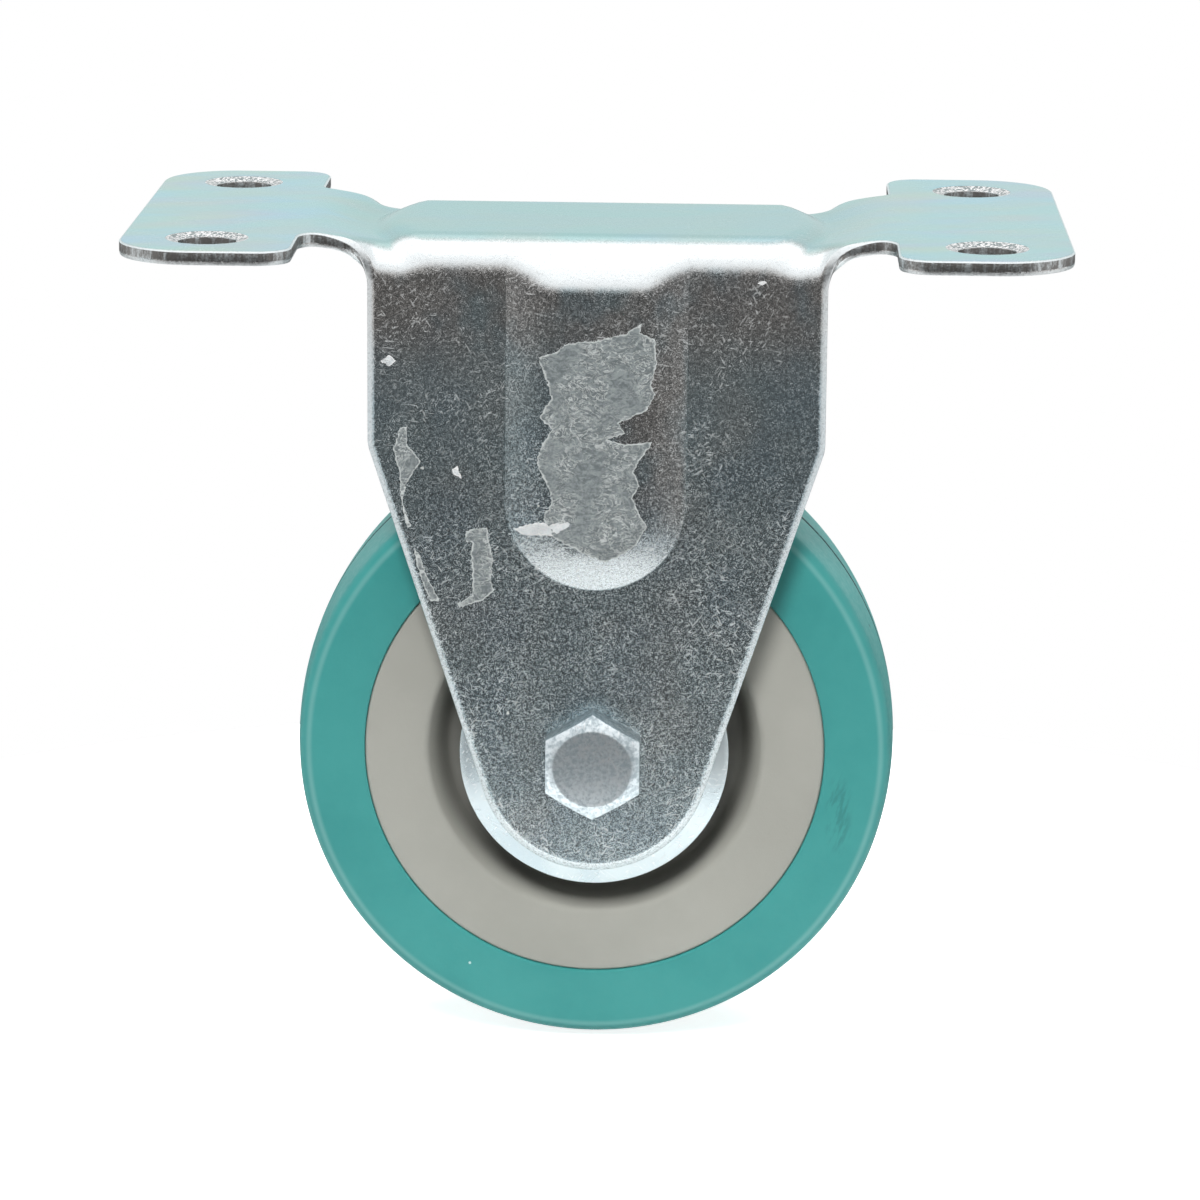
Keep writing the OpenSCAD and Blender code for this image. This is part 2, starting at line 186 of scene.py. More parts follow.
def grain_group():
    """Fine plated grain: bright and dark specks a fraction of a millimetre across."""
    tree, given, out = new_group(
        "plated grain",
        [("Place", "Vector", None), ("Size", "Float", 4200.0)],
        [("Fine", "Float"), ("Bright specks", "Float"), ("Dark specks", "Float")])
    fine = noise_at(tree, given["Place"], given["Size"], 3.0, 0.62)
    wide = noise_at(tree, given["Place"], math_node(tree, "MULTIPLY", given["Size"], 0.36), 2.0, 0.6)
    patch = noise_at(tree, given["Place"], math_node(tree, "MULTIPLY", given["Size"], 0.05), 2.0, 0.5)
    both = math_node(tree, "ADD", math_node(tree, "MULTIPLY", fine, 0.7),
                     math_node(tree, "MULTIPLY", wide, 0.3))
    gate = between(tree, patch, 0.3, 0.7, 0.6, 1.0)
    bright = between(tree, both, 0.545, 0.605)
    dark = between(tree, both, 0.495, 0.42)
    tree.links.new(both, out["Fine"])
    tree.links.new(math_node(tree, "MULTIPLY", bright, gate), out["Bright specks"])
    tree.links.new(dark, out["Dark specks"])
    return tree


def scratch_group():
    """Short fine scratches in many directions, gathered in patches, and a few long faint ones."""
    tree, given, out = new_group(
        "hairline scratches",
        [("Place", "Vector", None), ("Amount", "Float", 0.5)],
        [("Lines", "Float")])
    total = None
    for length, share, turn in (
            (0.9, 1.0, (0.0, 0.5, 0.4)), (1.1, 1.0, (0.3, 1.9, 1.2)), (0.8, 1.0, (0.2, -0.6, 2.0)),
            (1.0, 1.0, (0.0, 2.7, -0.7)), (6.5, 0.4, (0.4, 1.1, 0.1)), (8.0, 0.35, (0.0, -0.9, 0.8))):
        lines = noise_at(tree, stretched(tree, given["Place"], (0.15, length, length), turn), 1.0, 0.0)
        thin = between(tree, lines, 0.73, 0.8, 0.0, share)
        total = thin if total is None else math_node(tree, "MAXIMUM", total, thin)
    patch = noise_at(tree, given["Place"], 130.0, 2.0)
    gate = between(tree, patch, 0.35, 0.65)
    amount = math_node(tree, "MULTIPLY", gate, given["Amount"])
    tree.links.new(math_node(tree, "MULTIPLY", total, amount, clamp=True), out["Lines"])
    return tree


def speck_group():
    """Lone specks, such as dust or a fleck in moulded plastic, in random cells."""
    tree, given, out = new_group(
        "lone specks",
        [("Place", "Vector", None), ("Cells", "Float", 300.0), ("Radius", "Float", 0.1),
         ("Share", "Float", 0.1)],
        [("Specks", "Float")])
    wobble = add(tree, "ShaderNodeTexNoise", {"Vector": given["Place"], "Scale": 3500.0}).outputs["Color"]
    shifted = add(tree, "ShaderNodeVectorMath", {0: wobble, 1: (0.00022,) * 3, 2: given["Place"]},
                  operation="MULTIPLY_ADD").outputs[0]
    cells = add(tree, "ShaderNodeTexVoronoi", {"Vector": shifted, "Scale": given["Cells"]})
    chosen = add(tree, "ShaderNodeSeparateColor", {"Color": cells.outputs["Color"]}).outputs[0]
    inside = add(tree, "ShaderNodeMath", {0: cells.outputs["Distance"], 1: given["Radius"]},
                 operation="LESS_THAN").outputs[0]
    kept = add(tree, "ShaderNodeMath", {0: chosen, 1: given["Share"]},
               operation="LESS_THAN").outputs[0]
    tree.links.new(math_node(tree, "MULTIPLY", inside, kept), out["Specks"])
    return tree


def start_material(name):
    """A new material with only its Principled shader, and the object's own coordinates."""
    material = bpy.data.materials.new(name)
    material.use_nodes = True
    tree = material.node_tree
    shader = tree.nodes["Principled BSDF"]
    place = add(tree, "ShaderNodeTexCoord").outputs["Object"]
    return material, tree, shader, place


def bump(tree, height, distance, strength=1.0):
    made = add(tree, "ShaderNodeBump", {"Height": height, "Distance": distance, "Strength": strength})
    return made.outputs[0]


def link(tree, shader, **sockets):
    for name, value in sockets.items():
        tree.links.new(value, shader.inputs[name.replace("_", " ")])


def facing(tree):
    """How far the surface itself faces up, in the object's own frame: -1 to 1."""
    normal = add(tree, "ShaderNodeTexCoord").outputs["Normal"]
    return add(tree, "ShaderNodeSeparateXYZ", {0: normal}).outputs["Z"]


def tinted(tree, place, base, patches):
    """Lays soft patches over a colour. A patch is its colour, the sizes of its clouds and its share."""
    colour = base
    for tint, sizes, share in patches:
        clouds = noise_at(tree, stretched(tree, place, sizes, (0.1, 0.2, 0.02 * sizes[0])), 1.0, 1.5, 0.45)
        colour = mix(tree, between(tree, clouds, 0.42, 0.72, 0.0, share), colour, tint)
    return colour


def zinc_material(groups):
    """Blue-passivated zinc on pressed steel sheet: grainy where it was drawn down, tinted in soft patches, with a
    painted teal sheen on faces that look up and painted highlights on its bend, its down-facing faces, its rolled
    edges and its rib bead.
    """
    material, tree, shader, place = start_material("zinc plated sheet")
    grain = use_group(tree, groups["grain"], Place=place, Size=8200.0)
    lines = use_group(tree, groups["scratch"], Place=place, Amount=0.7)["Lines"]
    dust = use_group(tree, groups["speck"], Place=place, Cells=330.0, Radius=0.06, Share=0.06)["Specks"]
    above = tinted(tree, place, display(180, 215, 217), [
        (display(199, 194, 226), (15, 7, 9), 0.6), (display(210, 214, 186), (17, 8, 9), 0.5),
        (display(172, 212, 238), (12, 6, 8), 0.5), (display(200, 206, 198), (9, 5, 7), 0.4)])
    rolled = noise_at(tree, stretched(tree, place, (5.0, 0.16, 0.16)), 1.0, 1.0)
    above = mix(tree, between(tree, rolled, 0.45, 0.7, 0.0, 0.22), above, display(208, 226, 228))
    parts = add(tree, "ShaderNodeSeparateXYZ", {0: place}).outputs
    middle = between(tree, math_node(tree, "ABSOLUTE", parts["X"]), 0.032, 0.022, 0.0, 0.6)
    above = mix(tree, middle, above, display(166, 199, 197))
    height = parts["Z"]
    under_bend = between(tree, height, -0.017, -0.008)
    beside = math_node(tree, "ABSOLUTE", math_node(tree, "SUBTRACT", parts["X"], 0.0057))
    in_rib = math_node(tree, "MULTIPLY", between(tree, beside, 0.0042, 0.0030),
                       between(tree, height, -0.037, -0.024))
    stain = math_node(tree, "MAXIMUM", under_bend, math_node(tree, "MULTIPLY", in_rib, 0.9))
    below = tinted(tree, place, display(180, 198, 203), [
        (display(202, 204, 202), (9, 9, 9), 0.4), (display(168, 190, 202), (6, 6, 8), 0.5)])
    brown = between(tree, noise_at(tree, stretched(tree, place, (8, 8, 10)), 1.0, 3.0, 0.6), 0.26, 0.54)
    below = mix(tree, math_node(tree, "MULTIPLY", math_node(tree, "MULTIPLY", brown, stain), 0.6),
                below, display(196, 180, 171))
    lift = facing(tree)
    flat = between(tree, lift, 0.75, 0.97)
    # Painted highlight: the bend, faces that look down, the rolled edges and the rib's foot bead are lightened
    # towards white.
    bend = math_node(tree, "MULTIPLY", between(tree, lift, 0.12, 0.4), between(tree, lift, 0.9, 0.78))
    bend = math_node(tree, "MULTIPLY", bend, between(tree, height, -0.02, -0.012))
    tread = math_node(tree, "MULTIPLY", between(tree, lift, -0.1, -0.3), 0.7)
    highlight_share = math_node(tree, "MAXIMUM", bend, tread)
    rim = add(tree, "ShaderNodeAttribute", attribute_name="painted_highlight").outputs["Fac"]
    highlight_share = math_node(tree, "MAXIMUM", highlight_share, rim)
    # Painted sheen: faces that look up take the paler teal colour above, the others the greyer colour below.
    tint = mix(tree, flat, below, above)
    # Lays the painted highlight over the tint.
    tint = mix(tree, highlight_share, tint, display(238, 243, 245))
    upright = math_node(tree, "SUBTRACT", 1.0, math_node(tree, "MULTIPLY", flat, 0.93))
    upright = math_node(tree, "MULTIPLY", upright, between(tree, height, -0.012, -0.045, 0.75, 1.3))
    bright = math_node(tree, "MULTIPLY", grain["Bright specks"], upright)
    dark = math_node(tree, "MULTIPLY", grain["Dark specks"], upright)
    dark = math_node(tree, "MULTIPLY", dark, between(tree, highlight_share, 0.0, 1.0, 0.95, 0.25))
    colour = mix(tree, dark, tint, display(104, 109, 111))
    colour = mix(tree, math_node(tree, "MULTIPLY", bright, 0.8), colour, display(250, 252, 253))
    marks = math_node(tree, "MULTIPLY", lines, math_node(tree, "SUBTRACT", 1.0, math_node(
        tree, "MULTIPLY", flat, 0.7)))
    colour = mix(tree, marks, colour, display(250, 252, 252))
    dust = math_node(tree, "MULTIPLY", dust, upright)
    colour = mix(tree, dust, colour, display(244, 246, 244))
    rough = math_node(tree, "ADD", between(tree, grain["Fine"], 0.35, 0.65, 0.19, 0.26),
                      math_node(tree, "MULTIPLY", bright, 0.42))
    rough = math_node(tree, "ADD", rough, math_node(tree, "MULTIPLY", rim, 0.3))
    rough = math_node(tree, "ADD", rough, math_node(tree, "MULTIPLY", marks, 0.35))
    rough = math_node(tree, "ADD", rough, math_node(tree, "MULTIPLY", dust, 0.3))
    rise = math_node(tree, "MULTIPLY", math_node(tree, "MULTIPLY", grain["Fine"], upright), 0.9)
    rise = math_node(tree, "ADD", rise, math_node(tree, "MULTIPLY", marks, 0.3))
    rise = math_node(tree, "ADD", rise, math_node(tree, "MULTIPLY", dust, 0.8))
    link(tree, shader, Base_Color=colour, Roughness=rough, Normal=bump(tree, rise, 0.00004))
    shader.inputs["Metallic"].default_value = 1.0
    shader.inputs["Specular Tint"].default_value = (0.75, 0.88, 0.88, 1.0)
    return material


def sheared_material(name):
    """A cut in the sheet: torn grey steel, with streaks of zinc pulled over it."""
    material, tree, shader, place = start_material(name)
    wide = noise_at(tree, stretched(tree, place, (0.9, 0.9, 3.0)), 1.0, 2.0, 0.55)
    thin = noise_at(tree, stretched(tree, place, (0.22, 0.22, 1.4)), 1.0, 2.0, 0.5)
    fine = noise_at(tree, place, 4600.0, 2.0, 0.6)
    both = math_node(tree, "ADD", math_node(tree, "MULTIPLY", wide, 0.5),
                     math_node(tree, "MULTIPLY", thin, 0.2))
    both = math_node(tree, "ADD", both, math_node(tree, "MULTIPLY", fine, 0.3))
    colour = mix(tree, between(tree, both, 0.44, 0.66), display(124, 122, 120), display(204, 210, 212))
    link(tree, shader, Base_Color=colour, Roughness=between(tree, both, 0.4, 0.6, 0.42, 0.3),
         Normal=bump(tree, both, 0.00012))
    shader.inputs["Metallic"].default_value = 1.0
    return material


def cone_material():
    """The countersunk cone: coarse tool marks that glitter, with dull grains between them."""
    material, tree, shader, place = start_material("countersunk cone")
    grains = noise_at(tree, place, 3200.0, 2.0, 0.6)
    bright = between(tree, grains, 0.45, 0.56)
    colour = mix(tree, bright, display(146, 156, 157), display(253, 253, 253))
    link(tree, shader, Base_Color=colour, Roughness=between(tree, grains, 0.4, 0.6, 0.5, 0.2),
         Normal=bump(tree, grains, 0.00016))
    shader.inputs["Metallic"].default_value = 1.0
    return material


def fastener_material(groups):
    """Bright zinc on forged and rolled steel, with a finely mottled skin."""
    material, tree, shader, place = start_material("zinc plated fastener")
    skin = noise_at(tree, place, 2100.0, 4.0, 0.6, 0.3)
    clouds = noise_at(tree, place, 420.0, 2.0, 0.5)
    lines = use_group(tree, groups["scratch"], Place=place, Amount=0.6)["Lines"]
    both = math_node(tree, "ADD", math_node(tree, "MULTIPLY", skin, 0.7),
                     math_node(tree, "MULTIPLY", clouds, 0.3))
    colour = mix(tree, between(tree, both, 0.38, 0.62), display(172, 186, 192), display(236, 245, 249))
    colour = mix(tree, lines, colour, display(250, 250, 250))
    link(tree, shader, Base_Color=colour, Roughness=between(tree, both, 0.35, 0.65, 0.46, 0.3),
         Normal=bump(tree, both, 0.00003))
    shader.inputs["Metallic"].default_value = 1.0
    return material


def cap_material(groups):
    """Bright zinc on a thin dished disc, smoother than the fork."""
    material, tree, shader, place = start_material("bright plated disc")
    clouds = noise_at(tree, place, 220.0, 3.0, 0.5)
    lines = use_group(tree, groups["scratch"], Place=place, Amount=0.5)["Lines"]
    colour = mix(tree, between(tree, clouds, 0.35, 0.65), display(200, 214, 219), display(216, 227, 230))
    colour = mix(tree, lines, colour, display(250, 250, 250))
    link(tree, shader, Base_Color=colour, Roughness=between(tree, clouds, 0.3, 0.7, 0.24, 0.34),
         Normal=bump(tree, math_node(tree, "ADD", clouds, lines), 0.00003))
    shader.inputs["Metallic"].default_value = 1.0
    return material


def steel_material(name, low, high, roughness, ring=0.0):
    """Turned or ground steel: fine rings round the axle and a faint cloud."""
    material, tree, shader, place = start_material(name)
    parts = add(tree, "ShaderNodeSeparateXYZ", {0: place})
    rise = math_node(tree, "ADD", parts.outputs["Z"], AXLE_DROP * MM)
    radius = math_node(tree, "SQRT", math_node(
        tree, "ADD", math_node(tree, "MULTIPLY", parts.outputs["X"], parts.outputs["X"]),
        math_node(tree, "MULTIPLY", rise, rise)))
    along = add(tree, "ShaderNodeCombineXYZ", {"X": radius, "Y": parts.outputs["Y"]}).outputs[0]
    rings = noise_at(tree, along, 6000.0, 2.0, 0.6)
    clouds = noise_at(tree, place, 300.0, 3.0, 0.5)
    both = math_node(tree, "ADD", math_node(tree, "MULTIPLY", rings, 0.5),
                     math_node(tree, "MULTIPLY", clouds, 0.5))
    colour = mix(tree, between(tree, both, 0.35, 0.65), low, high)
    link(tree, shader, Base_Color=colour,
         Roughness=between(tree, both, 0.3, 0.7, roughness - 0.05, roughness + 0.07),
         Normal=bump(tree, both, 0.00002 + ring))
    shader.inputs["Metallic"].default_value = 1.0
    return material


def plastic_material(name, low, high, roughness, groups, speck_share=0.03, painted_recess_shade=0.0):
    """Moulded plastic: a satin skin, faint clouds, a few lone specks, and painted shade that darkens its recess.
    """
    material, tree, shader, place = start_material(name)
    clouds = noise_at(tree, place, 60.0, 4.0, 0.55)
    skin = noise_at(tree, place, 2200.0, 3.0, 0.55)
    specks = use_group(tree, groups["speck"], Place=place, Cells=300.0, Radius=0.05,
                       Share=speck_share)["Specks"]
    colour = mix(tree, between(tree, clouds, 0.3, 0.7), low, high)
    colour = mix(tree, specks, colour, display(70, 68, 64))
    if painted_recess_shade:
        # Painted shade: everything deeper than the hub's face, in its recess, is darkened.
        along = add(tree, "ShaderNodeSeparateXYZ", {0: place}).outputs["Y"]
        inside = between(tree, math_node(tree, "ABSOLUTE", along), 0.0099, 0.0072, 0.0, painted_recess_shade)
        colour = mix(tree, inside, colour, display(84, 84, 80))
    rise = math_node(tree, "ADD", skin, math_node(tree, "MULTIPLY", clouds, 2.0))
    link(tree, shader, Base_Color=colour,
         Roughness=between(tree, skin, 0.3, 0.7, roughness - 0.04, roughness + 0.06),
         Normal=bump(tree, rise, 0.00002))
    return material


def tyre_material(groups):
    """Green cast rubber: a dull skin, pale dust, small dark specks, a grubby mould line and a painted highlight
    line round each shoulder.
    """
    material, tree, shader, place = start_material("green tyre rubber")
    clouds = noise_at(tree, place, 70.0, 4.0, 0.55)
    skin = noise_at(tree, place, 1800.0, 4.0, 0.6)
    dark = use_group(tree, groups["speck"], Place=place, Cells=240.0, Radius=0.05, Share=0.09)["Specks"]
    pale = use_group(tree, groups["speck"], Place=place, Cells=300.0, Radius=0.045, Share=0.06)["Specks"]
    parts = add(tree, "ShaderNodeSeparateXYZ", {0: place})
    colour = mix(tree, between(tree, clouds, 0.3, 0.7), display(60, 151, 148), display(70, 161, 157))
    seam = add(tree, "ShaderNodeAttribute", attribute_name="mould_line").outputs["Fac"]
    tread = add(tree, "ShaderNodeAttribute", attribute_name="tread").outputs["Fac"]
    bloom = math_node(tree, "MULTIPLY", tread, between(tree, noise_at(tree, place, 240.0, 4.0, 0.65), 0.35, 0.65))
    colour = mix(tree, math_node(tree, "MULTIPLY", bloom, 0.3), colour, display(104, 176, 172))
    from_axle = add(tree, "ShaderNodeCombineXYZ", {
        "X": parts.outputs["X"], "Y": math_node(tree, "ADD", parts.outputs["Z"], AXLE_DROP * MM),
    }).outputs[0]
    radius = add(tree, "ShaderNodeVectorMath", {0: from_axle}, operation="LENGTH").outputs["Value"]
    # Painted highlight: a thin pale line round each shoulder, where the face turns into the tread.
    off_edge = math_node(tree, "ABSOLUTE", math_node(tree, "SUBTRACT", radius, (TYRE_R - 1.55) * MM))
    edge = math_node(tree, "MULTIPLY", between(tree, off_edge, 0.0005, 0.0),
                     between(tree, math_node(tree, "ABSOLUTE", parts.outputs["Y"]), 0.0088, 0.0096))
    colour = mix(tree, math_node(tree, "MULTIPLY", edge, 0.35), colour, display(150, 204, 200))
    grime = between(tree, noise_at(tree, place, 900.0, 3.0, 0.6), 0.2, 0.5)
    colour = mix(tree, math_node(tree, "MULTIPLY", between(tree, seam, 0.1, 0.5), grime), colour,
                 display(16, 66, 66))
    smear = smudge(tree, parts, (26.3, -63.2), (1.7, 5.2), 0.42)
    colour = mix(tree, smear, colour, display(44, 108, 106))
    colour = mix(tree, dark, colour, display(38, 92, 92))
    colour = mix(tree, pale, colour, display(190, 222, 220))
    rise = math_node(tree, "ADD", math_node(tree, "MULTIPLY", skin, 0.5), math_node(tree, "MULTIPLY", clouds, 3.0))
    link(tree, shader, Base_Color=colour, Roughness=between(tree, skin, 0.3, 0.7, 0.42, 0.55),
         Normal=bump(tree, rise, 0.00004))
    return material


def smudge(tree, parts, centre, reach, strength):
    """A faint rubbed mark on the wheel's face, round a place given as X and Z in millimetres."""
    total = None
    for label, middle, size in (("X", centre[0], reach[0]), ("Z", centre[1], reach[1])):
        off = math_node(tree, "SUBTRACT", parts.outputs[label], middle * MM)
        off = math_node(tree, "MULTIPLY", off, 1 / (size * MM))
        off = math_node(tree, "MULTIPLY", off, off)
        total = off if total is None else math_node(tree, "ADD", total, off)
    place = add(tree, "ShaderNodeCombineXYZ", {"X": parts.outputs["X"], "Y": parts.outputs["Z"]}).outputs[0]
    streaks = noise_at(tree, stretched(tree, place, (0.5, 2.6, 1.0), (0.0, 0.0, -0.35)), 1.0, 3.0, 0.6)
    rub = between(tree, streaks, 0.42, 0.62)
    return math_node(tree, "MULTIPLY", math_node(tree, "MULTIPLY", between(tree, total, 1.0, 0.1), rub), strength)


def residue_material(name, low, high, crease):
    """What is left of a peeled sticker: a thin, wrinkled film of old glue."""
    material, tree, shader, place = start_material(name)
    folds = noise_at(tree, stretched(tree, place, (1.0, 1.0, 0.55)), 1.0, 4.0, 0.65, 1.2)
    fine = noise_at(tree, place, 4200.0, 3.0, 0.6)
    both = math_node(tree, "ADD", math_node(tree, "MULTIPLY", folds, 0.65),
                     math_node(tree, "MULTIPLY", fine, 0.35))
    worm = noise_at(tree, stretched(tree, place, (1.6, 1.6, 1.0)), 1.0, 3.0, 0.55, 2.2)
    ridge = math_node(tree, "ABSOLUTE", math_node(tree, "SUBTRACT", worm, 0.5))
    patch = between(tree, noise_at(tree, place, 260.0, 2.0), 0.35, 0.6)
    edge = add(tree, "ShaderNodeAttribute", attribute_name="film_edge").outputs["Fac"]
    pale = math_node(tree, "MULTIPLY", between(tree, ridge, 0.05, 0.006), patch)
    pale = math_node(tree, "MAXIMUM", pale, between(tree, edge, 0.3, 0.85))
    colour = mix(tree, between(tree, both, 0.4, 0.6), low, high)
    colour = mix(tree, math_node(tree, "MULTIPLY", pale, 0.85), colour, crease)
    rise = math_node(tree, "ADD", both, math_node(tree, "MULTIPLY", pale, 0.4))
    link(tree, shader, Base_Color=colour, Roughness=between(tree, fine, 0.3, 0.7, 0.34, 0.55),
         Normal=bump(tree, rise, 0.00012))
    return material


# Making the pieces

def select_only(obj):
    bpy.ops.object.select_all(action="DESELECT")
    obj.select_set(True)
    bpy.context.view_layer.objects.active = obj


def new_piece(name, points, edges, faces):
    """A mesh object at the origin, from points in metres."""
    mesh = bpy.data.meshes.new(name)
    mesh.from_pydata(points, edges, faces)
    obj = bpy.data.objects.new(name, mesh)
    bpy.context.scene.collection.objects.link(obj)
    return obj


def in_edit(obj, *steps):
    """Runs edit mode operators on the whole mesh."""
    select_only(obj)
    bpy.ops.object.mode_set(mode="EDIT")
    bpy.ops.mesh.select_all(action="SELECT")
    for step in steps:
        step()
    bpy.ops.object.mode_set(mode="OBJECT")


def weld():
    bpy.ops.mesh.remove_doubles(threshold=0.000004)


def outward():
    bpy.ops.mesh.normals_make_consistent(inside=False)


def smooth(obj, degrees=35):
    select_only(obj)
    bpy.ops.object.shade_smooth_by_angle(angle=math.radians(degrees))


def apply_modifier(obj, kind, **settings):
    select_only(obj)
    made = obj.modifiers.new(kind.lower(), kind)
    for name, value in settings.items():
        setattr(made, name, value)
    bpy.ops.object.modifier_apply(modifier=made.name)


def combine(obj, other, operation):
    """Joins, cuts or trims a piece with another, which is used up."""
    apply_modifier(obj, "BOOLEAN", object=other, operation=operation, solver="EXACT")
    bpy.data.objects.remove(other)


def dress(obj, body, materials, nodes=()):
    """Gives a finished piece its materials and its body, and hides the CAD nodes that it stands in for."""
    for material in materials:
        obj.data.materials.append(material)
    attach(obj, body)
    if nodes:
        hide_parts(*nodes)
    return obj


def rounded_path(corners, step, closed=False):
    """Points along a path with rounded corners, with the direction that lies to its right.
    A corner is (x, y, radius). Each row of the result is x, y and that direction."""
    count = len(corners)
    marks = []
    for i, (x, y, radius) in enumerate(corners):
        here = np.array([x, y], float)
        if not closed and i in (0, count - 1):
            marks.append((here, here, None))
            continue
        before = here - np.array(corners[i - 1][:2], float)
        after = np.array(corners[(i + 1) % count][:2], float) - here
        a = before / np.linalg.norm(before)
        b = after / np.linalg.norm(after)
        turn = math.atan2(a[0] * b[1] - a[1] * b[0], a.dot(b))
        reach = radius * math.tan(abs(turn) / 2)
        side = math.copysign(1, turn)
        centre = here - a * reach + side * radius * np.array([-a[1], a[0]])
        marks.append((here - a * reach, here + b * reach, (centre, radius, turn, a)))
    rows = []

    def put(point, normal):
        if not rows or np.linalg.norm(np.array(rows[-1][:2]) - point) > 1e-4:
            rows.append([point[0], point[1], normal[0], normal[1]])

    for i in range(count if closed else count - 1):
        start, arc = marks[i][1], marks[i][2]
        end = marks[(i + 1) % count][0]
        if arc and arc[1] > 0:
            centre, radius, turn, a = arc
            parts = max(5, int(abs(turn) * radius / step) + 1)
            side = math.copysign(1, turn)
            for k in range(parts + 1):
                angle = turn * k / parts
                right = np.array([a[1] * math.cos(angle) + a[0] * math.sin(angle),
                                  -a[0] * math.cos(angle) + a[1] * math.sin(angle)])
                put(centre + side * radius * right, right)
        length = np.linalg.norm(end - start)
        if length < 1e-6:
            continue
        along = (end - start) / length
        parts = max(1, int(length / step + 0.5))
        for k in range(parts + 1):
            put(start + along * length * k / parts, np.array([along[1], -along[0]]))
    if closed and np.linalg.norm(np.array(rows[0][:2]) - rows[-1][:2]) < 1e-4:
        rows.pop()
    return np.array(rows)


# The fork: a flat blank is drawn, then folded and pressed

def ease(value):
    value = np.clip(value, 0.0, 1.0)
    return value * value * (3 - 2 * value)


def top_height(u, s):
    """The top face's height: a platform in the middle, and a soft valley before each wing."""
    across = np.minimum(np.abs(s), 14.0) / 12.0
    valley = 24.6 - 2.8 * across ** 2
    from_valley = np.abs(u) - valley
    down = ease((from_valley + 3.3) / 3.3)
    climb = np.clip(from_valley / (5.6 + 2.6 * across ** 2), 0.0, 1.0)
    up = 0.5 * climb + 0.5 * ease(climb)
    return -CROWN_DROP - (VALLEY_DROP - CROWN_DROP) * down + VALLEY_DROP * up


def folded(u, s):
    """The sheet's middle surface: flat above, bent down at the fold, and blended at the shoulder."""
    top = top_height(u, s)
    fade = ease((s - 12.0) / 10.0)
    leg_top = top * (1 - fade) - CROWN_DROP * fade
    angle = np.clip((s - FOLD_START) / FOLD_MID_R, 0.0, math.pi / 2)
    y = np.minimum(s, FOLD_START) + FOLD_MID_R * np.sin(angle)
    z = leg_top - HALF_SHEET - FOLD_MID_R * (1 - np.cos(angle)) - np.maximum(0.0, s - FOLD_END)
    on_neck = np.maximum(1 - ease((s - 15.0) / 2.0), ease((np.abs(u) - 26.0) / 1.5))
    share = np.exp(-(on_neck * np.maximum(0.0, np.abs(u) - 23.0) / 1.9) ** 2)
    y = y * share + s * (1 - share)
    z = z * share + (top - HALF_SHEET) * (1 - share)
    return np.stack([u, y, z], axis=-1)


def rib_rise(u, s):
    """How far the rib stands out of the leg."""
    below = s - RIB_CENTRE_S
    side = RIB_HALF - np.where(below > 0, np.hypot(u, below), np.abs(u))
    climb = np.clip(side / RIB_SLOPE, 0.0, 1.0)
    return RIB_H * (1 - (1 - climb) ** 1.15) * ease((s - RIB_TOP_S + 1.5 * (1 - climb)) / RIB_FADE)


def rib_crease(u, s):
    """Where the rib's foot has a thin raised bead, which also carries a painted highlight, from 0 to 1."""
    below = s - RIB_CENTRE_S
    side = RIB_HALF - np.where(below > 0, np.hypot(u, below), np.abs(u))
    return np.clip(1 - np.abs(side) / 0.12, 0.0, 1.0) * ease((s - RIB_TOP_S - 1.5) / 2.0)


def facing_out(surface, u, s):
    small = 0.02
    along = surface(u + small, s) - surface(u - small, s)
    across = surface(u, s + small) - surface(u, s - small)
    normal = np.cross(along, across)
    return normal / np.linalg.norm(normal, axis=-1, keepdims=True)


def pressed(u, s):
    return folded(u, s) + rib_rise(u, s)[..., None] * facing_out(folded, u, s)


def sheet_point(u, s, height):
    """A place at a height above the sheet's middle surface, in millimetres."""
    u, s = np.asarray(u, float), np.asarray(s, float)
    height = np.broadcast_to(np.asarray(height, float), u.shape)
    return pressed(u, s) + facing_out(pressed, u, s) * height[..., None]


def blank_outline():
    """One quarter of the flat blank, from the middle of a wing's end round to the leg's tip."""
    reach = math.hypot(LEG_HALF, TAPER_H)
    heading = math.atan2(TAPER_H, -LEG_HALF) - math.asin(LEG_END_R / reach)
    tip = AXLE_S + LEG_END_R
    run = (tip - TAPER_S) / math.sin(heading)
    return rounded_path([
        (PLATE_L / 2, 0, 0),
        (PLATE_L / 2, PLATE_W / 2, 8.0),
        (WING_START, PLATE_W / 2, 3.5),
        (WING_START, NECK_S, 2.5),
        (LEG_HALF, NECK_S, 1.4),
        (LEG_HALF, TAPER_S, 4.0),
        (LEG_HALF + run * math.cos(heading), tip, LEG_END_R),
        (0, tip, 0),
    ], 0.55)


def circle_path(x, y, radius, parts, start=0.0, sweep=2 * math.pi):
    """A hole's edge, whose outward side looks to the hole's middle."""
    rows = []
    for k in range(parts + (0 if sweep > 6 else 1)):
        angle = start + sweep * k / parts
        c, s = math.cos(angle), math.sin(angle)
        rows.append([x + radius * c, y + radius * s, -c, -s])
    return np.array(rows)


def moved_in(path, inset, roll=1.0):
    """Moves an edge into the sheet, by less where its roll is narrower."""
    return path[:, :2] - path[:, 2:] * inset * roll


def roll_share(path):
    """The cut edge is rolled over more on the legs than on the wings."""
    return (1 - 0.66 * ease((path[:, 0] - 24.5) / 5.0))[:, None]


def between_stops(stops):
    """Grid lines from (start, spacing) pairs, the last of which only ends the row."""
    lines = []
    for (start, spacing), (end, _) in zip(stops, stops[1:]):
        parts = max(1, round((end - start) / spacing))
        lines += [start + (end - start) * k / parts for k in range(parts)]
    return lines + [stops[-1][0]]


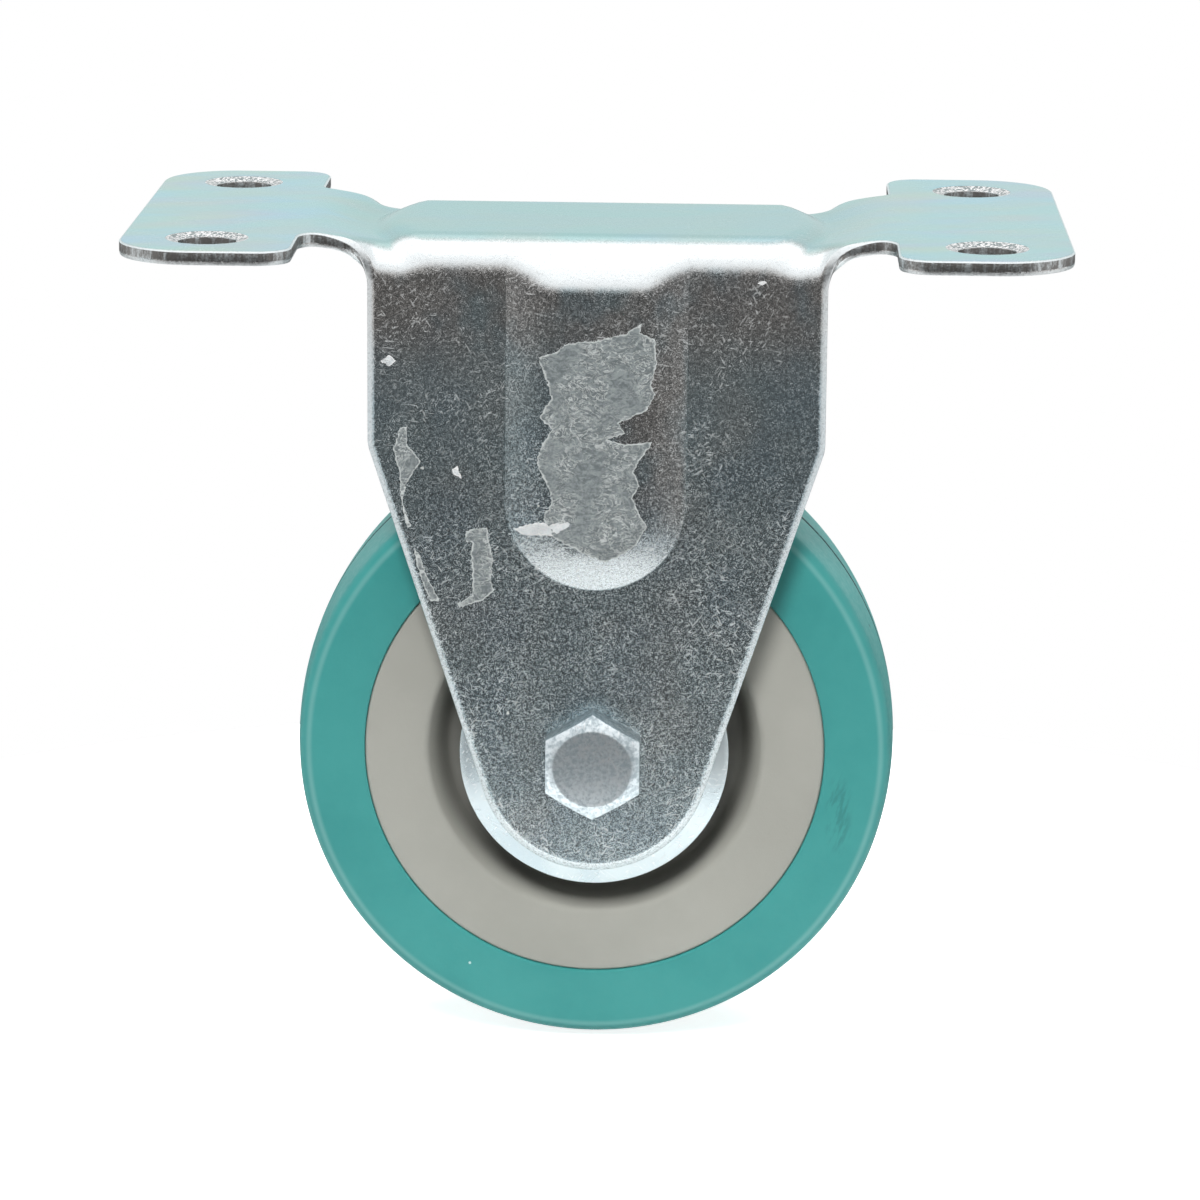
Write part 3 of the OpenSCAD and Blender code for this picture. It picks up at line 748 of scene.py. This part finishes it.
def inside_loops(points, loops):
    """Which points lie inside the first loop and outside the others, by counting crossings."""
    inside = np.zeros(len(points), bool)
    x, y = points[:, 0], points[:, 1]
    for loop in loops:
        for (x0, y0), (x1, y1) in zip(loop, np.roll(loop, -1, axis=0)):
            crosses = (y0 > y) != (y1 > y)
            if y0 != y1:
                inside ^= crosses & (x < (x1 - x0) * (y - y0) / (y1 - y0) + x0)
    return inside


def fill(loops, lines, columns, rows, gap):
    """Triangles over the area inside the loops, with edges along the loops and the open lines."""
    points, edges = [], []
    for chain, closed in [(loop, True) for loop in loops] + [(line, False) for line in lines]:
        first = len(points)
        points += [tuple(p) for p in chain]
        last = len(points) - 1
        edges += [(k, k + 1) for k in range(first, last)]
        if closed:
            edges.append((last, first))
    fixed = np.array(points)
    grid = np.array([(u, s) for s in rows for u in columns])
    grid = grid[inside_loops(grid, loops)]
    free = [p for p in grid if np.min(np.hypot(*(fixed - p).T)) > gap]
    points += [tuple(p) for p in free]
    found = delaunay_2d_cdt([Vector(p) for p in points], edges, [], 0, 1e-5)
    flat = np.array([tuple(v) for v in found[0]])
    triangles = np.array([tuple(f) for f in found[2]])
    kept = triangles[inside_loops(flat[triangles].mean(axis=1), loops)]
    index = {}
    for new, olds in enumerate(found[3]):
        for old in olds:
            index[old] = new
    return flat, kept, index


EDGE_RINGS = [(0.95, 0.75, 0), (0.82, 0.74, 0), (0.7, 0.69, 0), (0.42, 0.52, 0), (0.14, 0.34, 0),
              (0.04, 0.24, 0), (0.0, 0.14, 1), (0.0, -0.3, 1), (0.03, -0.46, 0), (0.12, -0.63, 0),
              (0.3, -0.75, 0), (0.95, -0.75, 0)]
SINK_RINGS = [(1.45, 0.75, 0), (1.3, 0.72, 2), (0.66, 0.54, 2), (0.03, 0.35, 2), (0.0, 0.25, 1),
              (0.0, -0.65, 1), (0.08, -0.75, 0), (1.45, -0.75, 0)]
BORE_RINGS = [(0.3, 0.75, 0), (0.0, 0.55, 1), (0.0, -0.55, 1), (0.3, -0.75, 0)]


def make_fork(zinc, sheared, cone):
    """A quarter of the fork is folded from its blank, then mirrored twice."""
    outline = blank_outline()
    screw = circle_path(HOLE_X, HOLE_Y, 3.0, 44)
    bore = circle_path(0, AXLE_S, 3.2, 20, math.pi / 2, -math.pi)
    columns = between_stops([(0, 0.8), (21.6, 0.4), (28.8, 0.8), (PLATE_L / 2, 0.8)])
    rows = between_stops([(0, 0.8), (9.6, 0.4), (17.6, 0.8), (80.0, 0.8)])
    roll = roll_share(outline)
    face_edge = moved_in(outline, EDGE_RINGS[0][0], roll)
    bore_edge = moved_in(bore, BORE_RINGS[0][0])
    along_end = np.array([(u, 0.0) for u in columns if u < face_edge[0][0] - 0.3])
    upper = [s for s in rows if 0.3 < s < bore_edge[-1][1] - 0.3]
    lower = [s for s in rows if bore_edge[0][1] + 0.3 < s < face_edge[-1][1] - 0.3]
    seam_low = np.array([(0.0, s) for s in reversed(lower)])
    seam_high = np.array([(0.0, s) for s in reversed(upper)])
    loop = np.concatenate([along_end, face_edge, seam_low, bore_edge, seam_high])
    first = {"edge": len(along_end), "bore": len(along_end) + len(face_edge) + len(seam_low),
             "screw": len(loop)}
    lines = []
    for depth in (-0.12, 0.0, 0.12, 0.8, 1.6, 2.5, 3.5, 4.45):
        half = RIB_HALF - depth
        side = [(half, s) for s in between_stops([(RIB_TOP_S, 0.6), (RIB_CENTRE_S, 0.6)])]
        arc = [(half * math.cos(a), RIB_CENTRE_S + half * math.sin(a))
               for a in np.linspace(0, math.pi / 2, 28)[1:-1]]
        lines.append(np.array(side + arc))
    flat, faces, index = fill([loop, moved_in(screw, SINK_RINGS[0][0])], lines, columns, rows, 0.3)
    u, s = flat[:, 0], flat[:, 1]
    count = len(flat)
    crease = rib_crease(u, s)
    points = [sheet_point(u, s, HALF_SHEET + RIB_BEAD * crease), sheet_point(u, s, -HALF_SHEET)]
    # Painted highlight along the rib's foot bead, kept as a point value for the sheet's material.
    painted_highlight = [0.6 * crease, np.zeros(count)]
    polygons = [tuple(f) for f in faces] + [tuple(f[::-1] + count) for f in faces]
    kinds = [0] * len(polygons)
    total = 2 * count
    for path, rings, begin, closed, share in ((outline, EDGE_RINGS, first["edge"], False, roll),
                                              (bore, BORE_RINGS, first["bore"], False, 1.0),
                                              (screw, SINK_RINGS, first["screw"], True, 1.0)):
        size = len(path)
        ids = [[index[begin + k] for k in range(size)]]
        for inset, height, _ in rings[1:-1]:
            ring = moved_in(path, inset, share)
            if height > 0 and path is outline:
                height = HALF_SHEET - (HALF_SHEET - height) * share[:, 0]
            points.append(sheet_point(ring[:, 0], ring[:, 1], height))
            # Painted highlight on the rolled rounds of the outer edge, above and below the cut.
            highlight_share = 0.7 if path is outline and 0.02 < inset < 0.6 else 0.0
            painted_highlight.append(np.full(size, highlight_share))
            ids.append(list(range(total, total + size)))
            total += size
        ids.append([index[begin + k] + count for k in range(size)])
        for level, (above, below) in enumerate(zip(ids, ids[1:])):
            kind = rings[level][2] if rings[level][2] == rings[level + 1][2] else 0
            for k in range(size if closed else size - 1):
                m = (k + 1) % size
                polygons.append((above[k], below[k], below[m], above[m]))
                kinds.append(kind)
    fork = new_piece("pressed_fork", np.concatenate(points) * MM, [], polygons)
    fork.data.polygons.foreach_set("material_index", kinds)
    shade = fork.data.attributes.new("painted_highlight", "FLOAT", "POINT")
    shade.data.foreach_set("value", np.concatenate(painted_highlight).astype(np.float32))
    apply_modifier(fork, "MIRROR", use_axis=(True, True, False), merge_threshold=0.00001)
    in_edit(fork, weld, outward)
    smooth(fork, 30)
    return dress(fork, "fork", [zinc, sheared, cone], ["bracket"])


# What is left of a sticker, on the front leg

FILM_SHIFT = 0.375


def make_film(name, outline, material, thickness, seed):
    """A thin ragged film on the front leg. Its outline is X and Z in millimetres."""
    chance = random.Random(seed)
    ragged = []
    for (x0, z0), (x1, z1) in zip(outline, outline[1:] + outline[:1]):
        parts = max(2, int(math.hypot(x1 - x0, z1 - z0) / 0.22))
        for k in range(parts):
            t = k / parts
            jitter = 0.0 if k == 0 else 0.09
            ragged.append((x0 + (x1 - x0) * t + FILM_SHIFT + chance.uniform(-jitter, jitter),
                           LEG_ZERO - (z0 + (z1 - z0) * t) + chance.uniform(-jitter, jitter)))
    loop = np.array(ragged)
    low, high = loop.min(axis=0), loop.max(axis=0)
    columns = np.arange(low[0], high[0], 0.32)
    rows = np.arange(low[1], high[1], 0.32)
    flat, faces, index = fill([loop], [], columns, rows, 0.14)
    count = len(flat)
    rim = {index[k] for k in range(len(loop))}
    x, s = flat[:, 0], flat[:, 1]
    wrinkle = np.array([noise.noise(Vector((a * 1.5, b * 1.5, seed))) for a, b in flat])
    fine = np.array([noise.noise(Vector((a * 4.2, b * 4.2, seed + 9.0))) for a, b in flat])
    lift = thickness * (1.0 + 1.1 * np.abs(wrinkle) + 0.7 * fine)
    lift = np.maximum(lift, 0.3 * thickness)
    edge = np.array([1.0 if k in rim else 0.0 for k in range(count)])
    top = on_front_leg(x, s, HALF_SHEET + lift * (1 - 0.55 * edge))
    base = on_front_leg(x, s, HALF_SHEET - 0.02)
    polygons = [tuple(f) for f in faces] + [tuple(f[::-1] + count) for f in faces]
    size = len(loop)
    for k in range(size):
        a, b = index[k], index[(k + 1) % size]
        polygons.append((a, a + count, b + count, b))
    film = new_piece(name, np.concatenate([top, base]) * MM, [], polygons)
    shade = film.data.attributes.new("film_edge", "FLOAT", "POINT")
    shade.data.foreach_set("value", np.concatenate([edge, edge]).astype(np.float32))
    in_edit(film, outward)
    smooth(film, 60)
    return dress(film, "fork", [material])


def on_front_leg(x, s, height):
    """A place on the front leg, which is the rear one's mirror image."""
    point = sheet_point(np.abs(x), s, height)
    return np.stack([np.sign(x) * point[:, 0], -point[:, 1], point[:, 2]], axis=-1)


def make_residue():
    film = residue_material("old glue film", display(112, 120, 122), display(152, 160, 161),
                            display(222, 227, 226))
    white = residue_material("white paper shred", display(228, 234, 236), display(242, 246, 247),
                             display(250, 250, 250))
    patch = [(-6.2, -12.8), (-4.7, -12.2), (-3.3, -11.2), (-0.9, -11.0), (2.6, -10.2), (4.3, -9.0),
             (4.1, -10.0), (5.5, -10.8), (5.7, -13.4), (5.1, -15.6), (5.6, -16.6), (4.6, -18.4),
             (2.0, -19.6), (2.7, -20.7), (0.8, -21.4), (2.7, -21.9), (5.3, -21.6), (4.3, -23.5),
             (3.6, -24.9), (4.3, -26.3), (3.5, -27.6), (4.2, -29.2), (4.9, -30.6), (3.9, -32.4),
             (2.5, -33.5), (0.7, -34.4), (-1.4, -33.5), (-3.5, -32.5), (-4.9, -31.6), (-5.6, -30.0),
             (-4.9, -27.9), (-5.6, -25.7), (-6.3, -24.0), (-5.8, -21.9), (-4.9, -20.4), (-6.0, -19.2),
             (-5.0, -17.1), (-5.5, -15.0)]
    smear = [(-8.7, -31.2), (-6.3, -30.4), (-2.1, -30.2), (-3.2, -31.0), (-4.9, -31.7), (-7.7, -31.8)]
    side_shred = [(-21.0, -20.8), (-20.2, -20.6), (-20.3, -22.4), (-18.8, -24.3), (-20.3, -26.6),
                  (-20.7, -28.8), (-19.8, -31.3), (-20.2, -31.5), (-20.9, -28.1), (-21.0, -25.6),
                  (-21.7, -23.1)]
    drop = [(-15.5, -25.1), (-14.9, -24.7), (-14.5, -26.1), (-15.3, -25.7)]
    hook = [(-14.0, -31.7), (-11.8, -31.3), (-11.6, -32.8), (-11.1, -34.7), (-11.4, -36.9),
            (-11.0, -38.1), (-12.2, -39.2), (-14.7, -40.0), (-14.9, -39.6), (-13.3, -38.7),
            (-13.3, -35.8), (-13.5, -34.0), (-13.3, -33.0), (-14.0, -32.9)]
    strip = [(-19.5, -33.6), (-18.8, -34.5), (-18.2, -36.6), (-16.8, -39.3), (-17.7, -39.4),
             (-18.7, -37.0), (-19.3, -34.9)]
    fleck = [(-23.0, -13.6), (-22.1, -13.0), (-21.4, -13.6), (-22.1, -14.2)]
    crumb = [(16.3, -4.9), (16.8, -4.6), (17.3, -4.8), (16.8, -5.1)]
    make_film("glue_patch", patch, film, 0.06, 3)
    make_film("paper_smear", smear, white, 0.09, 5)
    make_film("glue_side_shred", side_shred, film, 0.05, 7)
    make_film("glue_drop", drop, white, 0.05, 11)
    make_film("glue_hook", hook, film, 0.06, 13)
    make_film("glue_edge_strip", strip, film, 0.05, 19)
    make_film("paper_fleck", fleck, white, 0.06, 17)
    make_film("paper_crumb", crumb, white, 0.05, 23)


# Turned pieces, drawn as half sections: radius, and distance along the axle

def turned(name, section, steps, side=REAR):
    """Spins a closed section round the axle. A section is an array of radius and distance."""
    points = [(r * MM, side * h * MM, -AXLE_DROP * MM) for r, h in section]
    count = len(points)
    obj = new_piece(name, points, [(k, (k + 1) % count) for k in range(count)], [])
    in_edit(obj, lambda: bpy.ops.mesh.spin(
        steps=steps, angle=2 * math.pi, center=(0, 0, -AXLE_DROP * MM), axis=(0, 1, 0)))
    in_edit(obj, weld, outward)
    return obj


def round_places(obj):
    """Each vertex's radius, angle and distance along the axle, in millimetres and radians."""
    places = np.empty(len(obj.data.vertices) * 3)
    obj.data.vertices.foreach_get("co", places)
    x, y, z = places.reshape(-1, 3).T / MM
    return np.hypot(x, z + AXLE_DROP), np.arctan2(z + AXLE_DROP, x), y


def set_round_places(obj, radius, angle, along):
    places = np.stack([radius * np.cos(angle), along, radius * np.sin(angle) - AXLE_DROP], axis=-1)
    obj.data.vertices.foreach_set("co", (places * MM).ravel())
    obj.data.update()


def make_tyre(rubber):
    """The tyre, with a crowned tread and an uneven mould line round its middle."""
    def tread(h):
        return TYRE_R - 90 + math.sqrt(90 ** 2 - h ** 2)
    corners = [(HUB_R + 0.02, -TYRE_HALF, 0.25), (tread(TYRE_HALF), -TYRE_HALF, 1.45)]
    corners += [(tread(h), h, 0) for h in (-7, -5, -3, -1.5, -0.8, -0.45)]
    corners += [(tread(0) - 0.12, -0.2, 0), (tread(0), 0.0, 0), (tread(0) - 0.16, 0.22, 0)]
    corners += [(tread(h), h, 0) for h in (0.5, 0.8, 1.5, 3, 5, 7)]
    corners += [(tread(TYRE_HALF), TYRE_HALF, 1.45), (HUB_R + 0.02, TYRE_HALF, 0.25),
                (HUB_R + 0.02, 4.02, 0), (HUB_R + 2.52, 4.02, 0), (HUB_R + 2.52, -4.02, 0),
                (HUB_R + 0.02, -4.02, 0)]
    tyre = turned("cast_tyre", rounded_path(corners, 1.2, closed=True)[:, :2], 240)
    radius, angle, along = round_places(tyre)
    near = (radius > 31) * np.clip(1 - np.abs(along) / 1.2, 0, 1)
    wander = np.array([noise.noise(Vector((math.cos(a) * 2, math.sin(a) * 2, 0))) for a in angle])
    ripple = np.array([noise.noise(Vector((math.cos(a) * 26, math.sin(a) * 26, 3))) for a in angle])
    along = along + near * (0.35 * wander + 0.16 * ripple)
    radius = radius - 0.06 * near * np.abs(ripple)
    set_round_places(tyre, radius, angle, along)
    line = (radius > 31) * np.clip(1 - np.abs(along - 0.2) / 0.6, 0, 1)
    worn = (radius > 31.2) * ease((9.4 - np.abs(along)) / 2.0)
    for label, values in (("mould_line", line), ("tread", worn)):
        shade = tyre.data.attributes.new(label, "FLOAT", "POINT")
        shade.data.foreach_set("value", values.astype(np.float32))
    smooth(tyre, 40)
    return dress(tyre, "wheel", [rubber], ["tyre"])


def make_core(plastic):
    """The moulded wheel centre: a dished face each side, a boss for the bearings, a keyed rim."""
    half = [(9.77, 1.5, 0), (11.02, 1.5, 0), (11.02, 8.9, 0.25), (13.0, 8.9, 0.3), (13.0, 6.5, 0.5),
            (15.8, 6.5, 0.9), (17.96, 10.25, 1.0), (HUB_R, 10.25, 0.3), (HUB_R, 4, 0), (HUB_R + 2.5, 4, 0)]
    corners = half + [(r, -h, fillet) for r, h, fillet in reversed(half)]
    core = turned("moulded_centre", rounded_path(corners, 1.2, closed=True)[:, :2], 180)
    smooth(core, 40)
    return dress(core, "wheel", [plastic], ["wheel_core"])


def make_cap(side, bright):
    """A dished disc between the wheel's bearing and the leg."""
    corners = [(3.1, LEG_IN, 0), (11.6, LEG_IN, 1.4), (14.4, 11.76, 0.12), (14.4, 11.35, 0.12),
               (13.6, 11.35, 0.1), (11.2, 12.2, 0.9), (3.1, 12.2, 0)]
    name = "front" if side == FRONT else "rear"
    cap = turned(name + "_dished_disc", rounded_path(corners, 0.5, closed=True)[:, :2], 120, side)
    smooth(cap, 40)
    return dress(cap, "fork", [bright], [name + "_dust_cap"])


def hexagon(name, height, side):
    """A six-sided bar against the leg's outer face, with its points up and down."""
    middle = side * (LEG_OUT + height / 2) * MM
    bpy.ops.object.select_all(action="DESELECT")
    bpy.ops.mesh.primitive_cylinder_add(
        vertices=6, radius=HEX_AF / math.sqrt(3) * MM, depth=height * MM,
        location=(0, middle, -AXLE_DROP * MM), rotation=(math.pi / 2, 0, 0))
    bar = bpy.context.object
    bar.name = name
    bpy.ops.object.transform_apply(location=True, rotation=True, scale=True)
    return bar


def trim_corners(bar, height, side, both=False):
    """Cuts a hexagon's corners to a cone, 30 degrees off its face."""
    face_r = 0.415 * HEX_AF
    edge_r = 0.7 * HEX_AF
    drop = (edge_r - face_r) * math.tan(math.radians(30))
    section = [(0.0, LEG_OUT - 0.5), (edge_r, LEG_OUT - 0.5), (edge_r, LEG_OUT + height - drop),
               (face_r, LEG_OUT + height), (0.0, LEG_OUT + height)]
    if both:
        section[0:2] = [(0.0, LEG_OUT), (face_r, LEG_OUT), (edge_r, LEG_OUT + drop)]
    combine(bar, turned("cone", section, 96, side), "INTERSECT")


def threaded_rod(name, start, end, thread_from):
    """A rod along the axle with a metric thread of 1 mm pitch towards its end."""
    fine = np.arange(thread_from, end - 0.02, 0.09)
    section = [(0.0, start), (BOLT_R, start), (BOLT_R, thread_from - 0.3)]
    section += [(BOLT_R, h) for h in fine] + [(BOLT_R, end), (0.0, end)]
    rod = turned(name, section, 72)
    radius, angle, along = round_places(rod)
    turn = along / 1.0 + angle / (2 * math.pi)
    groove = 1 - np.abs(2 * (turn - np.floor(turn)) - 1)
    depth = 0.55 * np.clip(groove * 1.35 - 0.2, 0, 1) * np.clip((along - thread_from) / 0.8, 0, 1)
    tip = np.clip((along - (end - 0.7)) / 0.7, 0, 1) * 0.7
    shaped = np.where(radius > BOLT_R - 0.05, np.minimum(radius - depth, BOLT_R - tip), radius)
    set_round_places(rod, shaped, angle, along)
    return rod


def make_bolt(plated):
    """The axle bolt: a trimmed hexagon head, a plain shank and a threaded tail past the nut."""
    head = hexagon("axle_bolt_head", HEAD_H, FRONT)
    trim_corners(head, HEAD_H, FRONT)
    apply_modifier(head, "BEVEL", width=0.00012, segments=2, limit_method="ANGLE",
                   angle_limit=math.radians(20))
    end = LEG_OUT + NUT_H + BOLT_TAIL
    combine(head, threaded_rod("shank", -LEG_OUT - 0.5, end, LEG_OUT + 1.5), "UNION")
    in_edit(head, weld, outward)
    smooth(head, 22)
    head.name = "hexagon_bolt"
    return dress(head, "fork", [plated], ["axle_bolt"])


def make_nut(plated, ring):
    """The locking nut, with a round collar that holds a nylon ring."""
    nut = hexagon("locking_nut", NUT_HEX_H, REAR)
    trim_corners(nut, NUT_HEX_H, REAR, both=True)
    low, high = LEG_OUT, LEG_OUT + NUT_H
    collar = rounded_path([(0.0, low + 1, 0), (4.6, low + 1, 0), (4.6, high, 0.5), (4.1, high, 0),
                           (0.0, high, 0)], 0.4, closed=True)[:, :2]
    combine(nut, turned("collar", collar, 96), "UNION")
    bore = [(0.0, low - 1), (2.97, low - 1), (2.97, high - 1.6), (3.92, high - 1.6), (3.92, high + 1),
            (0.0, high + 1)]
    combine(nut, turned("bore", bore, 96), "DIFFERENCE")
    apply_modifier(nut, "BEVEL", width=0.0001, segments=2, limit_method="ANGLE",
                   angle_limit=math.radians(25))
    in_edit(nut, weld, outward)
    smooth(nut, 22)
    dress(nut, "fork", [plated], ["axle_nut"])
    section = rounded_path([(2.97, high - 1.6, 0), (3.9, high - 1.6, 0), (3.9, high - 0.1, 0.15),
                            (2.97, high - 0.1, 0.4)], 0.3, closed=True)[:, :2]
    insert = turned("nylon_ring", section, 96)
    smooth(insert, 40)
    dress(insert, "fork", [ring], ["nut_insert"])


# The studio

def make_floor():
    """A pale round floor under the wheel. It shows white and keeps the castor's shadow."""
    bpy.ops.object.select_all(action="DESELECT")
    bpy.ops.mesh.primitive_circle_add(vertices=96, radius=0.13, fill_type="NGON",
                                      location=(0, 0, -0.0889))
    floor = bpy.context.object
    floor.name = "floor"
    bpy.ops.object.transform_apply(location=True)
    material = bpy.data.materials.new("pale floor")
    material.use_nodes = True
    tree = material.node_tree
    tree.nodes.clear()
    path = add(tree, "ShaderNodeLightPath").outputs
    seen = math_node(tree, "MAXIMUM", path["Is Camera Ray"], path["Is Glossy Ray"])
    place = add(tree, "ShaderNodeTexCoord").outputs["Object"]
    away = add(tree, "ShaderNodeVectorMath", {0: place, 1: (0, 0, 0.0889)}, operation="ADD").outputs[0]
    away = add(tree, "ShaderNodeVectorMath", {0: away}, operation="LENGTH").outputs["Value"]
    matt = add(tree, "ShaderNodeBsdfDiffuse", {"Color": (0.8, 0.8, 0.8, 1.0)}).outputs[0]
    shine = math_node(tree, "ADD", 0.48, math_node(tree, "MULTIPLY", path["Is Camera Ray"], 0.36))
    glow = add(tree, "ShaderNodeEmission", {"Color": (1, 1, 1, 1), "Strength": shine}).outputs[0]
    clear = add(tree, "ShaderNodeBsdfTransparent").outputs[0]
    lit = add(tree, "ShaderNodeAddShader", {0: matt, 1: glow}).outputs[0]
    both = add(tree, "ShaderNodeMixShader", {0: seen, 1: matt, 2: lit}).outputs[0]
    gone = math_node(tree, "MULTIPLY", between(tree, away, 0.05, 0.1), path["Is Glossy Ray"])
    both = add(tree, "ShaderNodeMixShader", {0: gone, 1: both, 2: clear}).outputs[0]
    add(tree, "ShaderNodeOutputMaterial", {"Surface": both})
    floor.data.materials.append(material)


def light_world():
    """White all round for the camera. Metal sees a white room, darker low down in front and behind."""
    world = bpy.data.worlds.new("studio")
    bpy.context.scene.world = world
    world.use_nodes = True
    tree = world.node_tree
    tree.nodes.clear()
    way = add(tree, "ShaderNodeTexCoord").outputs["Generated"]
    parts = add(tree, "ShaderNodeSeparateXYZ", {0: way}).outputs
    front = math_node(tree, "MULTIPLY", between(tree, parts["Y"], -0.45, -0.72),
                      between(tree, parts["Z"], 0.24, 0.1))
    back = math_node(tree, "MULTIPLY", between(tree, parts["Y"], 0.45, 0.72),
                     between(tree, parts["Z"], 0.02, -0.1))
    dark = math_node(tree, "ADD", front, back, clamp=True)
    darkest = between(tree, parts["Z"], -0.16, 0.0, 0.2, 0.11)
    room = add(tree, "ShaderNodeMix", {0: dark, 2: 1.0, 3: darkest}, data_type="FLOAT").outputs[0]
    overhead = between(tree, parts["Z"], 0.62, 0.85, 0.0, 0.35)
    seen_in_metal = math_node(tree, "ADD", room, overhead)
    path = add(tree, "ShaderNodeLightPath").outputs
    glossy = path["Is Glossy Ray"]
    plain = math_node(tree, "MAXIMUM", path["Is Camera Ray"], path["Is Transmission Ray"])
    strength = add(tree, "ShaderNodeMix", {0: glossy, 2: 0.04, 3: seen_in_metal}, data_type="FLOAT").outputs[0]
    strength = add(tree, "ShaderNodeMix", {0: plain, 2: strength, 3: 1.0}, data_type="FLOAT").outputs[0]
    shade = add(tree, "ShaderNodeBackground", {"Color": (1, 1, 1, 1), "Strength": strength}).outputs[0]
    add(tree, "ShaderNodeOutputWorld", {"Surface": shade})


def add_lamp(name, place, target, size, power):
    data = bpy.data.lights.new(name, "AREA")
    data.shape = "DISK"
    data.size = size
    data.energy = power
    lamp = bpy.data.objects.new(name, data)
    bpy.context.scene.collection.objects.link(lamp)
    lamp.location = place
    lamp.rotation_euler = (Vector(target) - Vector(place)).to_track_quat("-Z", "Y").to_euler()
    lamp.visible_glossy = False
    lamp.visible_camera = False


bpy.context.scene.view_settings.view_transform = "Standard"
set_camera()
light_world()
make_floor()
add_lamp("overhead lamp", (0.05, -0.05, 0.7), (0, 0, -0.04), 0.6, 2.4)
add_lamp("front lamp", (-0.12, -0.64, 0.6), (0, 0, -0.05), 0.36, 6.4)
add_lamp("back lamp", (0.15, 0.65, 0.5), (0, 0, -0.05), 0.5, 6.0)
add_lamp("right lamp", (0.7, -0.3, 0.2), (0, 0, -0.05), 0.6, 1.1)
add_lamp("left lamp", (-0.7, 0.2, 0.2), (0, 0, -0.05), 0.6, 1.1)

groups = {"grain": grain_group(), "scratch": scratch_group(), "speck": speck_group()}
zinc = zinc_material(groups)
sheared = sheared_material("sheared sheet edge")
cone = cone_material()
plated = fastener_material(groups)
bright = cap_material(groups)
make_fork(zinc, sheared, cone)
make_residue()
make_bolt(plated)
make_nut(plated, plastic_material("blue nylon", display(52, 92, 160), display(64, 104, 170), 0.4, groups))
make_cap(FRONT, bright)
make_cap(REAR, bright)
make_tyre(tyre_material(groups))
make_core(plastic_material("grey moulded plastic", display(170, 170, 162), display(178, 178, 170), 0.42, groups,
                           painted_recess_shade=0.7))

turned_steel = steel_material("turned steel", display(168, 170, 172), display(206, 208, 210), 0.3)
bearing_steel = steel_material("ground bearing steel", display(186, 188, 190), display(218, 220, 222), 0.2)
shield_steel = steel_material("pressed shield steel", display(178, 180, 182), display(212, 214, 216), 0.3)
cage_nylon = plastic_material("cream cage nylon", display(214, 206, 182), display(224, 218, 196), 0.45, groups)
inner_finishes = {
    "axle_sleeve": turned_steel, "centre_spacer": turned_steel, "front_spacer": turned_steel,
    "rear_spacer": turned_steel,
}
for end in ("front", "rear"):
    for part in ("inner_race", "outer_race", "balls"):
        inner_finishes[end + "_" + part] = bearing_steel
    inner_finishes[end + "_outer_shield"] = shield_steel
    inner_finishes[end + "_inner_shield"] = shield_steel
    inner_finishes[end + "_cage"] = cage_nylon
for name, material in inner_finishes.items():
    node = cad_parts[name]
    node.data.materials.clear()
    node.data.materials.append(material)
